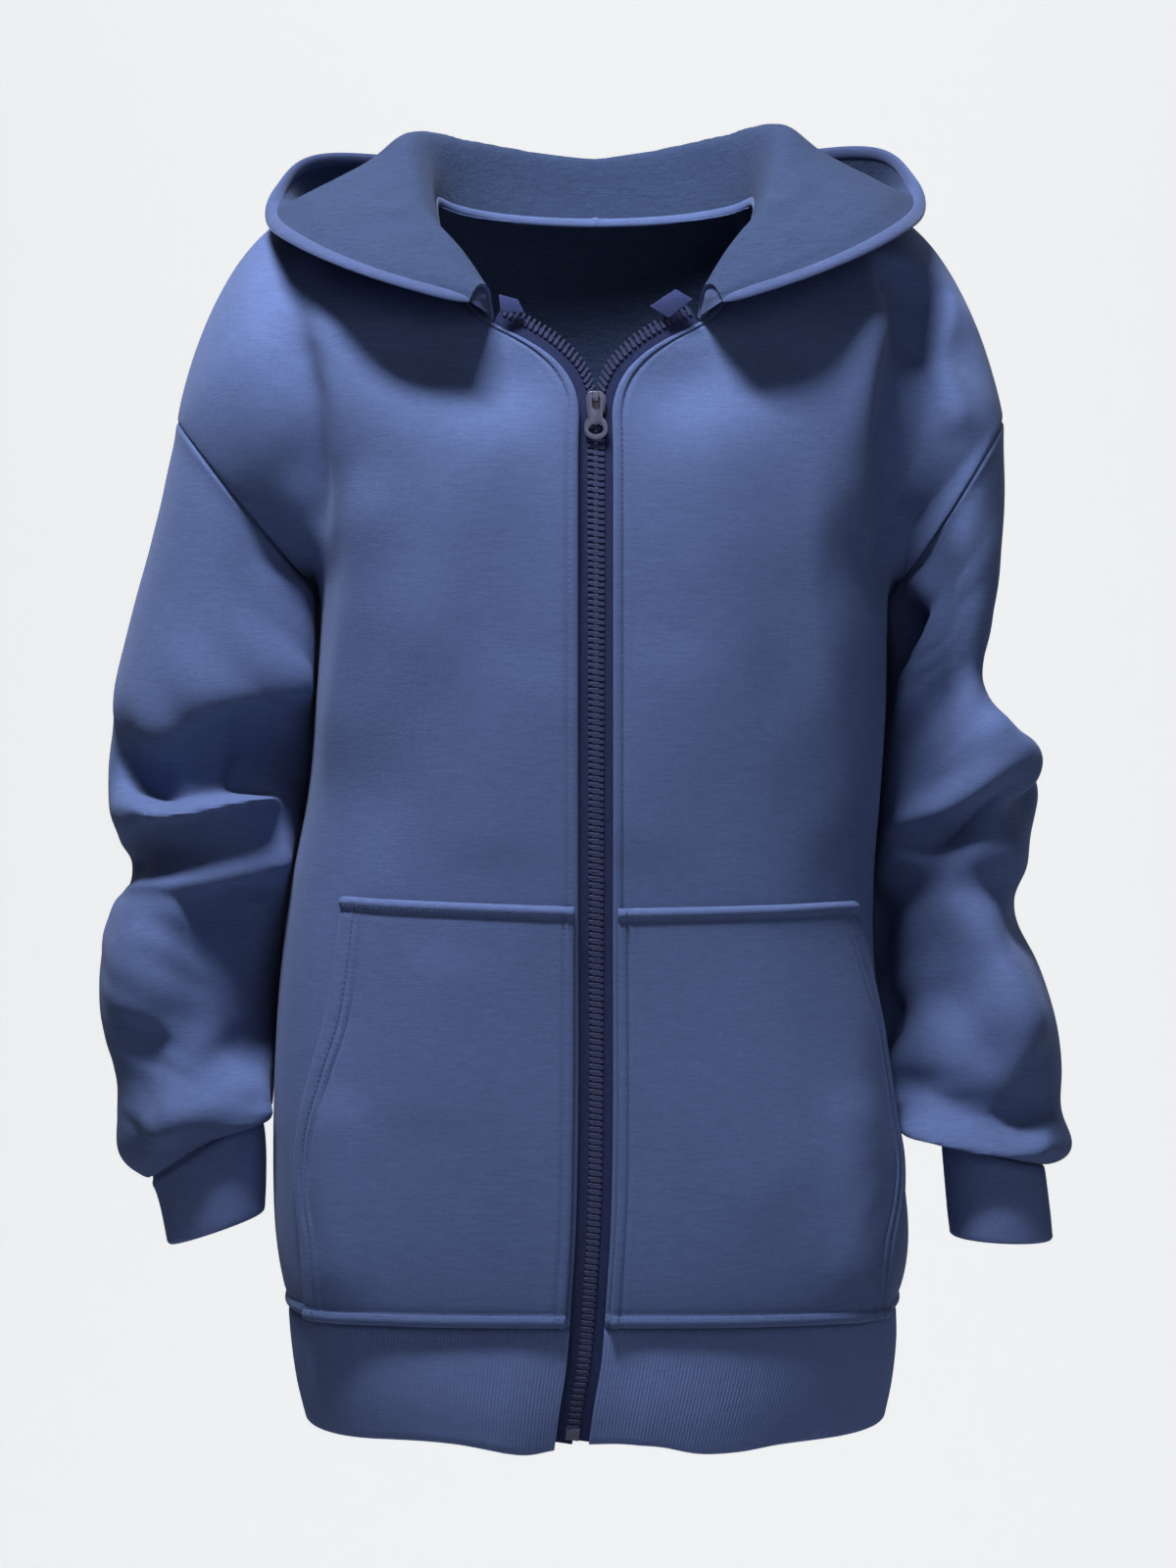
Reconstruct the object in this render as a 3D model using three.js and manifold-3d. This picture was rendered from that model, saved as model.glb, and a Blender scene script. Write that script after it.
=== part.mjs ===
// A zip-up hoodie in the hollow shape it keeps while worn, hood down and the zip open at the neck.
// Millimetres, +Z up, the front faces -Y, +X is the wearer's left.
// The origin is the middle of the neck opening, level with the tops of the shoulders.
import * as THREE from 'three';
import Module from 'manifold-3d';
import { mergeVertices } from 'three/addons/utils/BufferGeometryUtils.js';

const wasm = await Module();
wasm.setup();

// ---- driving dimensions -------------------------------------------------------------------
const clothThickness = 2.0;
const ribThickness = 2.6;
const seamGap = 0.8;          // each piece stops this far short of its seam line
const layerGap = 0.4;         // air between a panel and what lies on it
const zipHalfOpening = 10;    // front edge of a panel to the middle of the zip
const chainHalfWidth = 4;
const chainThickness = 3;
const tapeThickness = 1.0;
const hemSeamHeight = -626;
const hemBottomHeight = -694;

// ---- small helpers ------------------------------------------------------------------------
const radians = (degrees) => degrees * Math.PI / 180;
const mix = (a, b, t) => a + (b - a) * t;
const vector = (x, y, z) => new THREE.Vector3(x, y, z);

/** Smooth value through a list of numbers; t runs from 0 to 1 over the whole list. */
function smoothValue(values, t) {
  const place = Math.min(Math.max(t, 0), 1) * (values.length - 1);
  const i = Math.min(Math.floor(place), values.length - 2);
  const f = place - i;
  const before = values[Math.max(i - 1, 0)];
  const after = values[Math.min(i + 2, values.length - 1)];
  const startSlope = (values[i + 1] - before) / 2;
  const endSlope = (after - values[i]) / 2;
  const f2 = f * f;
  const f3 = f2 * f;
  return (2 * f3 - 3 * f2 + 1) * values[i] + (f3 - 2 * f2 + f) * startSlope
    + (3 * f2 - 2 * f3) * values[i + 1] + (f3 - f2) * endSlope;
}

/** One smooth row of a table, t from 0 at its first row to 1 at its last. */
function smoothRow(table, t) {
  const row = {};
  for (const name of Object.keys(table[0])) {
    row[name] = smoothValue(table.map((entry) => entry[name]), t);
  }
  return row;
}

/** Where a height falls in a table whose z column goes steadily one way. */
function placeOfHeight(table, z) {
  let low = 0;
  let high = 1;
  const rising = table[table.length - 1].z > table[0].z;
  for (let step = 0; step < 24; step += 1) {
    const middle = (low + high) / 2;
    const above = smoothRow(table, middle).z > z;
    if (above === rising) {
      high = middle;
    } else {
      low = middle;
    }
  }
  return (low + high) / 2;
}

/** Height of a soft ridge (or trough, if size is negative) at a point of the cloth's flat map. */
function foldHeight(folds, across, along) {
  let height = 0;
  for (const fold of folds) {
    const dx = fold.toAcross - fold.fromAcross;
    const dz = fold.toAlong - fold.fromAlong;
    const lengthSquared = dx * dx + dz * dz;
    const t = ((across - fold.fromAcross) * dx + (along - fold.fromAlong) * dz) / lengthSquared;
    const clamped = Math.min(Math.max(t, 0), 1);
    const offX = across - fold.fromAcross - dx * clamped;
    const offZ = along - fold.fromAlong - dz * clamped;
    const distance = Math.hypot(offX, offZ) / fold.width;
    height += fold.size * Math.exp(-distance * distance);
  }
  return height;
}

/** Folds die away towards a seam; distance is 0 at the seam and 1 across the whole piece. */
const seamFade = (distance) => THREE.MathUtils.smoothstep(distance, 0, 0.12);

/** A surface given as point(u, v): its unit normal, from small steps either way. */
function normalAt(surface, u, v) {
  const step = 0.004;
  const alongU = surface(Math.min(u + step, 1), v).sub(surface(Math.max(u - step, 0), v));
  const alongV = surface(u, Math.min(v + step, 1)).sub(surface(u, Math.max(v - step, 0)));
  return alongU.cross(alongV).normalize();
}

/** Moves a surface out along its normal by amount(u, v, point). */
function offsetSurface(surface, amount) {
  return (u, v) => {
    const point = surface(u, v);
    return point.clone().addScaledVector(normalAt(surface, u, v), amount(u, v, point));
  };
}

/** Evenly spaced numbers, both ends included. */
function steps(count, from = 0, to = 1) {
  return Array.from({ length: count + 1 }, (_, i) => mix(from, to, i / count));
}

/** Points of a surface over lists of u (columns) and v (rows). */
function gridOf(surface, columns, rows) {
  return rows.map((v) => columns.map((u) => surface(u, v)));
}

/** Draws the open borders of a grid back from their seam lines. */
function insetBorders(grid, gap, borders = ['bottom', 'top', 'start', 'end']) {
  const last = grid.length - 1;
  const pull = (edge, neighbour) => {
    const direction = neighbour.clone().sub(edge);
    edge.addScaledVector(direction, gap / direction.length());
  };
  const lastColumn = grid[0].length - 1;
  if (borders.includes('bottom')) {
    grid[0].forEach((point, c) => pull(point, grid[1][c]));
  }
  if (borders.includes('top')) {
    grid[last].forEach((point, c) => pull(point, grid[last - 1][c]));
  }
  if (borders.includes('start')) {
    grid.forEach((row) => pull(row[0], row[1]));
  }
  if (borders.includes('end')) {
    grid.forEach((row) => pull(row[lastColumn], row[lastColumn - 1]));
  }
  return grid;
}

/**
 * A closed wall of cloth on a grid of points, half its thickness to each side.
 * ring: the columns close on themselves. thickness: a number or thickness(row, column).
 */
function wallOf(grid, { thickness = clothThickness, ring = false } = {}) {
  const rowCount = grid.length;
  const columnCount = grid[0].length;
  const wrap = (c) => (c + columnCount) % columnCount;
  const positions = [];
  const indices = [];
  const sides = [0.5, -0.5];
  for (let r = 0; r < rowCount; r += 1) {
    for (let c = 0; c < columnCount; c += 1) {
      const left = ring ? grid[r][wrap(c - 1)] : grid[r][Math.max(c - 1, 0)];
      const right = ring ? grid[r][wrap(c + 1)] : grid[r][Math.min(c + 1, columnCount - 1)];
      const below = grid[Math.max(r - 1, 0)][c];
      const above = grid[Math.min(r + 1, rowCount - 1)][c];
      const normal = right.clone().sub(left).cross(above.clone().sub(below)).normalize();
      const amount = typeof thickness === 'number' ? thickness : thickness(r, c);
      for (const side of sides) {
        const point = grid[r][c].clone().addScaledVector(normal, amount * side);
        positions.push(point.x, point.y, point.z);
      }
    }
  }
  const outer = (r, c) => 2 * (r * columnCount + wrap(c));
  const inner = (r, c) => outer(r, c) + 1;
  const quad = (a, b, c, d) => indices.push(a, b, c, a, c, d);
  const lastCell = ring ? columnCount : columnCount - 1;
  for (let r = 0; r < rowCount - 1; r += 1) {
    for (let c = 0; c < lastCell; c += 1) {
      quad(outer(r, c), outer(r, c + 1), outer(r + 1, c + 1), outer(r + 1, c));
      quad(inner(r, c), inner(r + 1, c), inner(r + 1, c + 1), inner(r, c + 1));
    }
  }
  for (let c = 0; c < lastCell; c += 1) {
    quad(outer(0, c), inner(0, c), inner(0, c + 1), outer(0, c + 1));
    const top = rowCount - 1;
    quad(outer(top, c), outer(top, c + 1), inner(top, c + 1), inner(top, c));
  }
  if (!ring) {
    const end = columnCount - 1;
    for (let r = 0; r < rowCount - 1; r += 1) {
      quad(outer(r, 0), outer(r + 1, 0), inner(r + 1, 0), inner(r, 0));
      quad(outer(r, end), inner(r, end), inner(r + 1, end), outer(r + 1, end));
    }
  }
  const geometry = new THREE.BufferGeometry();
  geometry.setAttribute('position', new THREE.Float32BufferAttribute(positions, 3));
  geometry.setIndex(indices);
  return facingOut(geometry);
}

/** Six times the signed volume of a closed mesh; below zero when it is inside out. */
function signedVolume(geometry) {
  const position = geometry.getAttribute('position');
  const index = geometry.getIndex();
  const corner = (i) => new THREE.Vector3().fromBufferAttribute(position, index.getX(i));
  let total = 0;
  for (let i = 0; i < index.count; i += 3) {
    total += corner(i).dot(corner(i + 1).cross(corner(i + 2)));
  }
  return total;
}

/** Turns a closed mesh so that its faces point out. */
function facingOut(geometry) {
  if (signedVolume(geometry) < 0) {
    const index = geometry.getIndex();
    for (let i = 0; i < index.count; i += 3) {
      const second = index.getX(i + 1);
      index.setX(i + 1, index.getX(i + 2));
      index.setX(i + 2, second);
    }
  }
  geometry.computeVertexNormals();
  return geometry;
}

// ---- the body -----------------------------------------------------------------------------
// Level sections of the body from the hem seam up to the armpits. edge: middle of the zip in x;
// front and back: depth of the centre lines; right and left: half widths; square: how boxy.
const torsoRows = [
  { z: hemSeamHeight, edge: -5, front: -120, back: 111, right: 184, left: 180, square: 3.3 },
  { z: -596, edge: -3, front: -122, back: 117, right: 191, left: 188, square: 3.2 },
  { z: -560, edge: -1, front: -122, back: 118, right: 194, left: 187, square: 3.1 },
  { z: -500, edge: 0, front: -121, back: 115, right: 194, left: 178, square: 3.0 },
  { z: -435, edge: 0, front: -121, back: 110, right: 191, left: 169, square: 2.9 },
  { z: -370, edge: 0, front: -123, back: 106, right: 183, left: 168, square: 2.9 },
  { z: -305, edge: 0, front: -125, back: 105, right: 171, left: 173, square: 2.9 },
  { z: -245, edge: 0, front: -126, back: 107, right: 167, left: 176, square: 2.9 },
  { z: -200, edge: 0, front: -126, back: 110, right: 166, left: 176, square: 2.9 },
];

// The armhole is a slanted loop from the dropped shoulder point down to the armpit.
const armholes = {
  right: { side: -1, topX: 252, topZ: -94, pitX: 166, pitZ: -200, halfDepth: 74 },
  left: { side: 1, topX: 245, topZ: -92, pitX: 176, pitZ: -200, halfDepth: 74 },
};

/** A point of the armhole; turn is 0 at the top, 90 in front and 180 at the armpit. */
function armholePoint(hole, turn) {
  const angle = radians(turn);
  const along = Math.cos(angle);
  const forward = Math.sin(angle);
  const lift = 8 * Math.abs(forward);
  return vector(
    hole.side * (mix(hole.pitX, hole.topX, 0.5) + along * (hole.topX - hole.pitX) / 2 + lift),
    -forward * hole.halfDepth,
    mix(hole.pitZ, hole.topZ, 0.5) + along * (hole.topZ - hole.pitZ) / 2 + lift,
  );
}

// Rows of a front panel above the armpit. x, y, z: its inner edge, up the zip, out along the V
// and round the neck; turn: where its outer edge meets the armhole; sweep: how far it rounds over;
// crest: how far the shoulder stands up on the way.
const chestRows = [
  { x: 10, y: -125, z: -150, turn: 150, square: 2.9, sweep: 82, crest: 0 },
  { x: 10, y: -123, z: -114, turn: 126, square: 2.8, sweep: 74, crest: 0 },
  { x: 11, y: -121, z: -88, turn: 104, square: 2.7, sweep: 68, crest: 0 },
  { x: 23, y: -118, z: -70, turn: 84, square: 2.6, sweep: 66, crest: 3 },
  { x: 40, y: -113, z: -57, turn: 64, square: 2.5, sweep: 68, crest: 7 },
  { x: 60, y: -106, z: -46, turn: 44, square: 2.4, sweep: 72, crest: 12 },
  { x: 84, y: -76, z: -14, turn: 24, square: 2.3, sweep: 76, crest: 16 },
  { x: 94, y: -36, z: 19, turn: 10, square: 2.2, sweep: 80, crest: 19 },
  { x: 97, y: 4, z: 43, turn: 0, square: 2.1, sweep: 82, crest: 20 },
];

/** All rows of one front panel, hem seam to shoulder seam, as inner and outer edge points. */
function frontRows(hole) {
  const halfWidth = hole.side < 0 ? 'right' : 'left';
  const lower = torsoRows.map((row) => ({
    inX: row.edge + hole.side * zipHalfOpening,
    inY: row.front,
    inZ: row.z,
    outX: hole.side * row[halfWidth],
    outY: 0,
    outZ: row.z,
    square: row.square,
    sweep: 90,
    crest: 0,
  }));
  const upper = chestRows.map((row) => {
    const outer = armholePoint(hole, row.turn);
    return {
      inX: hole.side * row.x,
      inY: row.y,
      inZ: row.z,
      outX: outer.x,
      outY: outer.y,
      outZ: outer.z,
      square: row.square,
      sweep: row.sweep,
      crest: row.crest,
    };
  });
  return [...lower, ...upper];
}

/** Part of a superellipse quarter, from the inner edge (s = 0) to the outer edge (s = 1). */
function roundedRow(row, s) {
  const power = 2 / row.square;
  const end = radians(row.sweep);
  const nearStart = s ** (1 / power);
  const nearEnd = (1 - s) ** (1 / power);
  const angle = end * nearStart / (nearStart + nearEnd);
  const across = Math.sin(angle) ** power / Math.sin(end) ** power;
  const floor = row.sweep >= 90 ? 0 : Math.cos(end) ** power;
  const cosine = Math.max(Math.cos(angle), 0) ** power;
  const inward = (cosine - floor) / (1 - floor);
  const shoulder = 6.75 * across * across * (1 - across);
  return vector(
    mix(row.inX, row.outX, across),
    mix(row.outY, row.inY, inward),
    mix(row.outZ, row.inZ, inward) + row.crest * shoulder,
  );
}

// Large soft folds of the body, laid out in x and z of the garment, sizes out from the cloth.
const frontFolds = {
  right: [
    { fromAcross: -184, fromAlong: 0, toAcross: -172, toAlong: -135, width: 15, size: -9 },
    { fromAcross: -132, fromAlong: -150, toAcross: -152, toAlong: -280, width: 13, size: 4 },
    { fromAcross: -152, fromAlong: -470, toAcross: -153, toAlong: -640, width: 14, size: 3 },
    { fromAcross: -120, fromAlong: -300, toAcross: -160, toAlong: -400, width: 18, size: -3 },
    { fromAcross: -60, fromAlong: -100, toAcross: -95, toAlong: -230, width: 22, size: 3 },
  ],
  left: [
    { fromAcross: 200, fromAlong: -8, toAcross: 172, toAlong: -130, width: 15, size: -9 },
    { fromAcross: 128, fromAlong: -140, toAcross: 146, toAlong: -250, width: 13, size: 3 },
    { fromAcross: 150, fromAlong: -450, toAcross: 152, toAlong: -640, width: 14, size: 3 },
    { fromAcross: 100, fromAlong: -250, toAcross: 140, toAlong: -390, width: 18, size: -3 },
    { fromAcross: 62, fromAlong: -95, toAcross: 84, toAlong: -240, width: 22, size: 3 },
  ],
};

/** The middle of the cloth of one front panel; u from the zip out, v from the hem seam up. */
function frontSurface(hole, folds) {
  const rows = frontRows(hole);
  const smooth = (u, v) => {
    const row = smoothRow(rows, v);
    row.outY = Math.min(row.outY, 0);
    return roundedRow(row, u);
  };
  const outward = hole.side;
  return offsetSurface(smooth, (u, v, point) => (
    outward * seamFade(1 - u) * seamFade(1 - v) * foldHeight(folds, point.x, point.z)));
}

const neckPoint = chestRows[chestRows.length - 1];
const backNeck = { y: 64, z: 40 };
const neckShare = 0.45;       // part of the back's top edge, from the middle out, that is neckline

/** The back neckline from the middle (t = 0) to the neck point (t = 1) on one side. */
function backNeckline(side, t) {
  const angle = radians(90 * t);
  return vector(
    side * neckPoint.x * Math.sin(angle),
    mix(neckPoint.y, backNeck.y, Math.cos(angle)),
    mix(backNeck.z, neckPoint.z, t),
  );
}

const backFolds = [
  { fromAcross: -172, fromAlong: -60, toAcross: -150, toAlong: -230, width: 20, size: -7 },
  { fromAcross: 170, fromAlong: -50, toAcross: 152, toAlong: -215, width: 20, size: -7 },
  { fromAcross: -118, fromAlong: -190, toAcross: -140, toAlong: -420, width: 24, size: 5 },
  { fromAcross: 112, fromAlong: -170, toAcross: 138, toAlong: -390, width: 24, size: 5 },
  { fromAcross: -55, fromAlong: -330, toAcross: -78, toAlong: -600, width: 26, size: 4 },
  { fromAcross: 48, fromAlong: -300, toAcross: 74, toAlong: -590, width: 28, size: 4 },
  { fromAcross: 0, fromAlong: -380, toAcross: -8, toAlong: -610, width: 26, size: -4 },
];

/** The middle of the back panel; u from the wearer's right side to the left, v from the hem up. */
function backSurface() {
  const pitPlace = 0.56;
  const lowerRow = (side, place) => {
    const row = smoothRow(torsoRows, place);
    const half = side < 0 ? row.right : row.left;
    return {
      inX: 0,
      inY: row.back,
      inZ: row.z,
      outX: side * half,
      outY: 0,
      outZ: row.z,
      square: row.square,
      sweep: 90,
      crest: 0,
    };
  };
  const shoulder = (hole, s) => {
    const rows = frontRows(hole);
    return roundedRow(rows[rows.length - 1], s);
  };
  const topEdge = (hole, s) => {
    if (s <= neckShare) {
      return backNeckline(hole.side, s / neckShare);
    }
    return shoulder(hole, (s - neckShare) / (1 - neckShare));
  };
  const column = (from, to, s, t) => {
    const startPull = vector(0, 26, 250);
    const endPull = vector(0, mix(-170, -110, s), mix(120, 10, s));
    const t2 = t * t;
    const t3 = t2 * t;
    return from.clone().multiplyScalar(2 * t3 - 3 * t2 + 1)
      .addScaledVector(startPull, t3 - 2 * t2 + t)
      .addScaledVector(to, 3 * t2 - 2 * t3)
      .addScaledVector(endPull, t3 - t2);
  };
  const smooth = (u, v) => {
    const hole = u < 0.5 ? armholes.right : armholes.left;
    const s = Math.abs(2 * u - 1);
    if (v <= pitPlace) {
      return roundedRow(lowerRow(hole.side, v / pitPlace), s);
    }
    const t = (v - pitPlace) / (1 - pitPlace);
    const from = roundedRow(lowerRow(hole.side, 1), s);
    const point = column(from, topEdge(hole, s), s, t);
    const loose = column(armholePoint(hole, 180), armholePoint(hole, 0), 1, t);
    const sewn = armholePoint(hole, 180 + 180 * t);
    const share = THREE.MathUtils.smoothstep(s, 0.45, 1);
    return point.addScaledVector(sewn.sub(loose), share);
  };
  return offsetSurface(smooth, (u, v, point) => (
    -seamFade(u) * seamFade(1 - u) * seamFade(1 - v) * foldHeight(backFolds, point.x, point.z)));
}

// ---- the sleeves --------------------------------------------------------------------------
// Rings down each sleeve. out and in: its outer and inner edges in x; tilt: how much higher the
// outer edge is; front and back: depth; lift: how far the front and back of the head ride up.
const sleeveRows = {
  right: [
    { z: -147, out: 252, in: 169, tilt: 106, front: -74, back: 74, lift: 8 },
    { z: -190, out: 266, in: 172, tilt: 74, front: -75, back: 73, lift: 4 },
    { z: -238, out: 284, in: 174, tilt: 42, front: -76, back: 70, lift: 0 },
    { z: -282, out: 295, in: 176, tilt: 18, front: -78, back: 66, lift: 0 },
    { z: -320, out: 296, in: 180, tilt: 0, front: -82, back: 62, lift: 0 },
    { z: -350, out: 287, in: 186, tilt: -8, front: -80, back: 58, lift: 0 },
    { z: -371, out: 283, in: 191, tilt: -6, front: -72, back: 56, lift: 0 },
    { z: -396, out: 294, in: 195, tilt: 0, front: -80, back: 54, lift: 0 },
    { z: -430, out: 300, in: 198, tilt: 0, front: -84, back: 50, lift: 0 },
    { z: -462, out: 297, in: 198, tilt: 0, front: -82, back: 45, lift: 0 },
    { z: -490, out: 287, in: 198, tilt: 0, front: -78, back: 40, lift: 0 },
    { z: -512, out: 288, in: 198, tilt: -5, front: -76, back: 34, lift: 0 },
    { z: -529, out: 289, in: 199, tilt: -12, front: -72, back: 24, lift: 0 },
    { z: -538, out: 278, in: 202, tilt: -18, front: -67, back: 10, lift: 0 },
    { z: -540, out: 268, in: 204, tilt: -20, front: -63, back: 2, lift: 0 },
  ],
  left: [
    { z: -146, out: 245, in: 179, tilt: 106, front: -74, back: 74, lift: 8 },
    { z: -188, out: 247, in: 181, tilt: 66, front: -72, back: 74, lift: 4 },
    { z: -225, out: 241, in: 183, tilt: 34, front: -70, back: 72, lift: 0 },
    { z: -256, out: 232, in: 183, tilt: 10, front: -68, back: 70, lift: 0 },
    { z: -284, out: 255, in: 182, tilt: 0, front: -74, back: 67, lift: 0 },
    { z: -310, out: 270, in: 181, tilt: -4, front: -78, back: 63, lift: 0 },
    { z: -350, out: 262, in: 177, tilt: 0, front: -76, back: 58, lift: 0 },
    { z: -390, out: 255, in: 176, tilt: 0, front: -74, back: 54, lift: 0 },
    { z: -424, out: 269, in: 178, tilt: 0, front: -78, back: 50, lift: 0 },
    { z: -458, out: 279, in: 183, tilt: 0, front: -80, back: 45, lift: 0 },
    { z: -488, out: 282, in: 188, tilt: 0, front: -81, back: 40, lift: 0 },
    { z: -511, out: 281, in: 190, tilt: 0, front: -80, back: 34, lift: 0 },
    { z: -530, out: 289, in: 193, tilt: 0, front: -76, back: 25, lift: 0 },
    { z: -542, out: 281, in: 203, tilt: 4, front: -68, back: 10, lift: 0 },
    { z: -544, out: 269, in: 210, tilt: 6, front: -62, back: 0, lift: 0 },
  ],
};

const cuffRows = {
  right: [
    { z: -543, out: 267, in: 205, tilt: -20, front: -62, back: 2, lift: 0 },
    { z: -550, out: 263, in: 201, tilt: -19, front: -64, back: 3, lift: 0 },
    { z: -566, out: 259, in: 200, tilt: -17, front: -66, back: 2, lift: 0 },
    { z: -582, out: 256, in: 201, tilt: -16, front: -65, back: 0, lift: 0 },
  ],
  left: [
    { z: -546, out: 269, in: 210, tilt: 6, front: -61, back: 0, lift: 0 },
    { z: -553, out: 270, in: 211, tilt: 5, front: -63, back: 2, lift: 0 },
    { z: -569, out: 272, in: 213, tilt: 2, front: -65, back: 1, lift: 0 },
    { z: -586, out: 274, in: 215, tilt: -2, front: -65, back: -1, lift: 0 },
  ],
};

// Sleeve folds, laid out by turn (0 outer, 90 front, 180 inner, 270 back) and by height.
const sleeveFolds = {
  right: [
    { fromAcross: 20, fromAlong: -300, toAcross: 150, toAlong: -252, width: 15, size: -7 },
    { fromAcross: 35, fromAlong: -327, toAcross: 135, toAlong: -318, width: 13, size: 9 },
    { fromAcross: 15, fromAlong: -368, toAcross: 115, toAlong: -345, width: 9, size: -8 },
    { fromAcross: 20, fromAlong: -396, toAcross: 150, toAlong: -372, width: 12, size: 5 },
    { fromAcross: 92, fromAlong: -400, toAcross: 56, toAlong: -520, width: 9, size: -5 },
    { fromAcross: 60, fromAlong: -430, toAcross: 30, toAlong: -500, width: 16, size: 4 },
    { fromAcross: 110, fromAlong: -535, toAcross: 160, toAlong: -500, width: 10, size: 5 },
    { fromAcross: 215, fromAlong: -300, toAcross: 330, toAlong: -335, width: 14, size: 7 },
    { fromAcross: 210, fromAlong: -345, toAcross: 320, toAlong: -372, width: 11, size: -7 },
    { fromAcross: 225, fromAlong: -420, toAcross: 310, toAlong: -460, width: 14, size: -5 },
    { fromAcross: 240, fromAlong: -480, toAcross: 320, toAlong: -505, width: 12, size: 5 },
    { fromAcross: 300, fromAlong: -150, toAcross: 280, toAlong: -260, width: 16, size: -4 },
  ],
  left: [
    { fromAcross: 50, fromAlong: -115, toAcross: 62, toAlong: -335, width: 13, size: 5 },
    { fromAcross: 95, fromAlong: -180, toAcross: 110, toAlong: -320, width: 14, size: -5 },
    { fromAcross: 15, fromAlong: -313, toAcross: 78, toAlong: -344, width: 9, size: -8 },
    { fromAcross: 15, fromAlong: -292, toAcross: 60, toAlong: -312, width: 10, size: 5 },
    { fromAcross: 82, fromAlong: -346, toAcross: 150, toAlong: -364, width: 10, size: 6 },
    { fromAcross: 60, fromAlong: -372, toAcross: 150, toAlong: -384, width: 12, size: -6 },
    { fromAcross: 20, fromAlong: -392, toAcross: 90, toAlong: -430, width: 14, size: -4 },
    { fromAcross: 70, fromAlong: -470, toAcross: 140, toAlong: -440, width: 16, size: 4 },
    { fromAcross: 100, fromAlong: -522, toAcross: 160, toAlong: -496, width: 11, size: 6 },
    { fromAcross: 215, fromAlong: -290, toAcross: 330, toAlong: -318, width: 14, size: 7 },
    { fromAcross: 210, fromAlong: -335, toAcross: 330, toAlong: -352, width: 11, size: -7 },
    { fromAcross: 225, fromAlong: -430, toAcross: 310, toAlong: -455, width: 14, size: -5 },
    { fromAcross: 240, fromAlong: -490, toAcross: 320, toAlong: -510, width: 12, size: 5 },
  ],
};

/** The middle of a tube of cloth on one arm; u round it from the outer edge, v down it. */
function tubeSurface(side, rows, folds) {
  const smooth = (u, v) => {
    const row = smoothRow(rows, v);
    const angle = u * 2 * Math.PI;
    const along = Math.cos(angle);
    const forward = Math.sin(angle);
    const lift = row.lift * Math.abs(forward);
    return vector(
      side * (mix(row.in, row.out, 0.5) + along * (row.out - row.in) / 2 + lift),
      mix(row.front, row.back, 0.5) - forward * (row.back - row.front) / 2,
      row.z + along * row.tilt / 2 + lift,
    );
  };
  return offsetSurface(smooth, (u, v, point) => (
    side * seamFade(v) * seamFade(1 - v) * foldHeight(folds, u * 360, point.z)));
}

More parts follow.
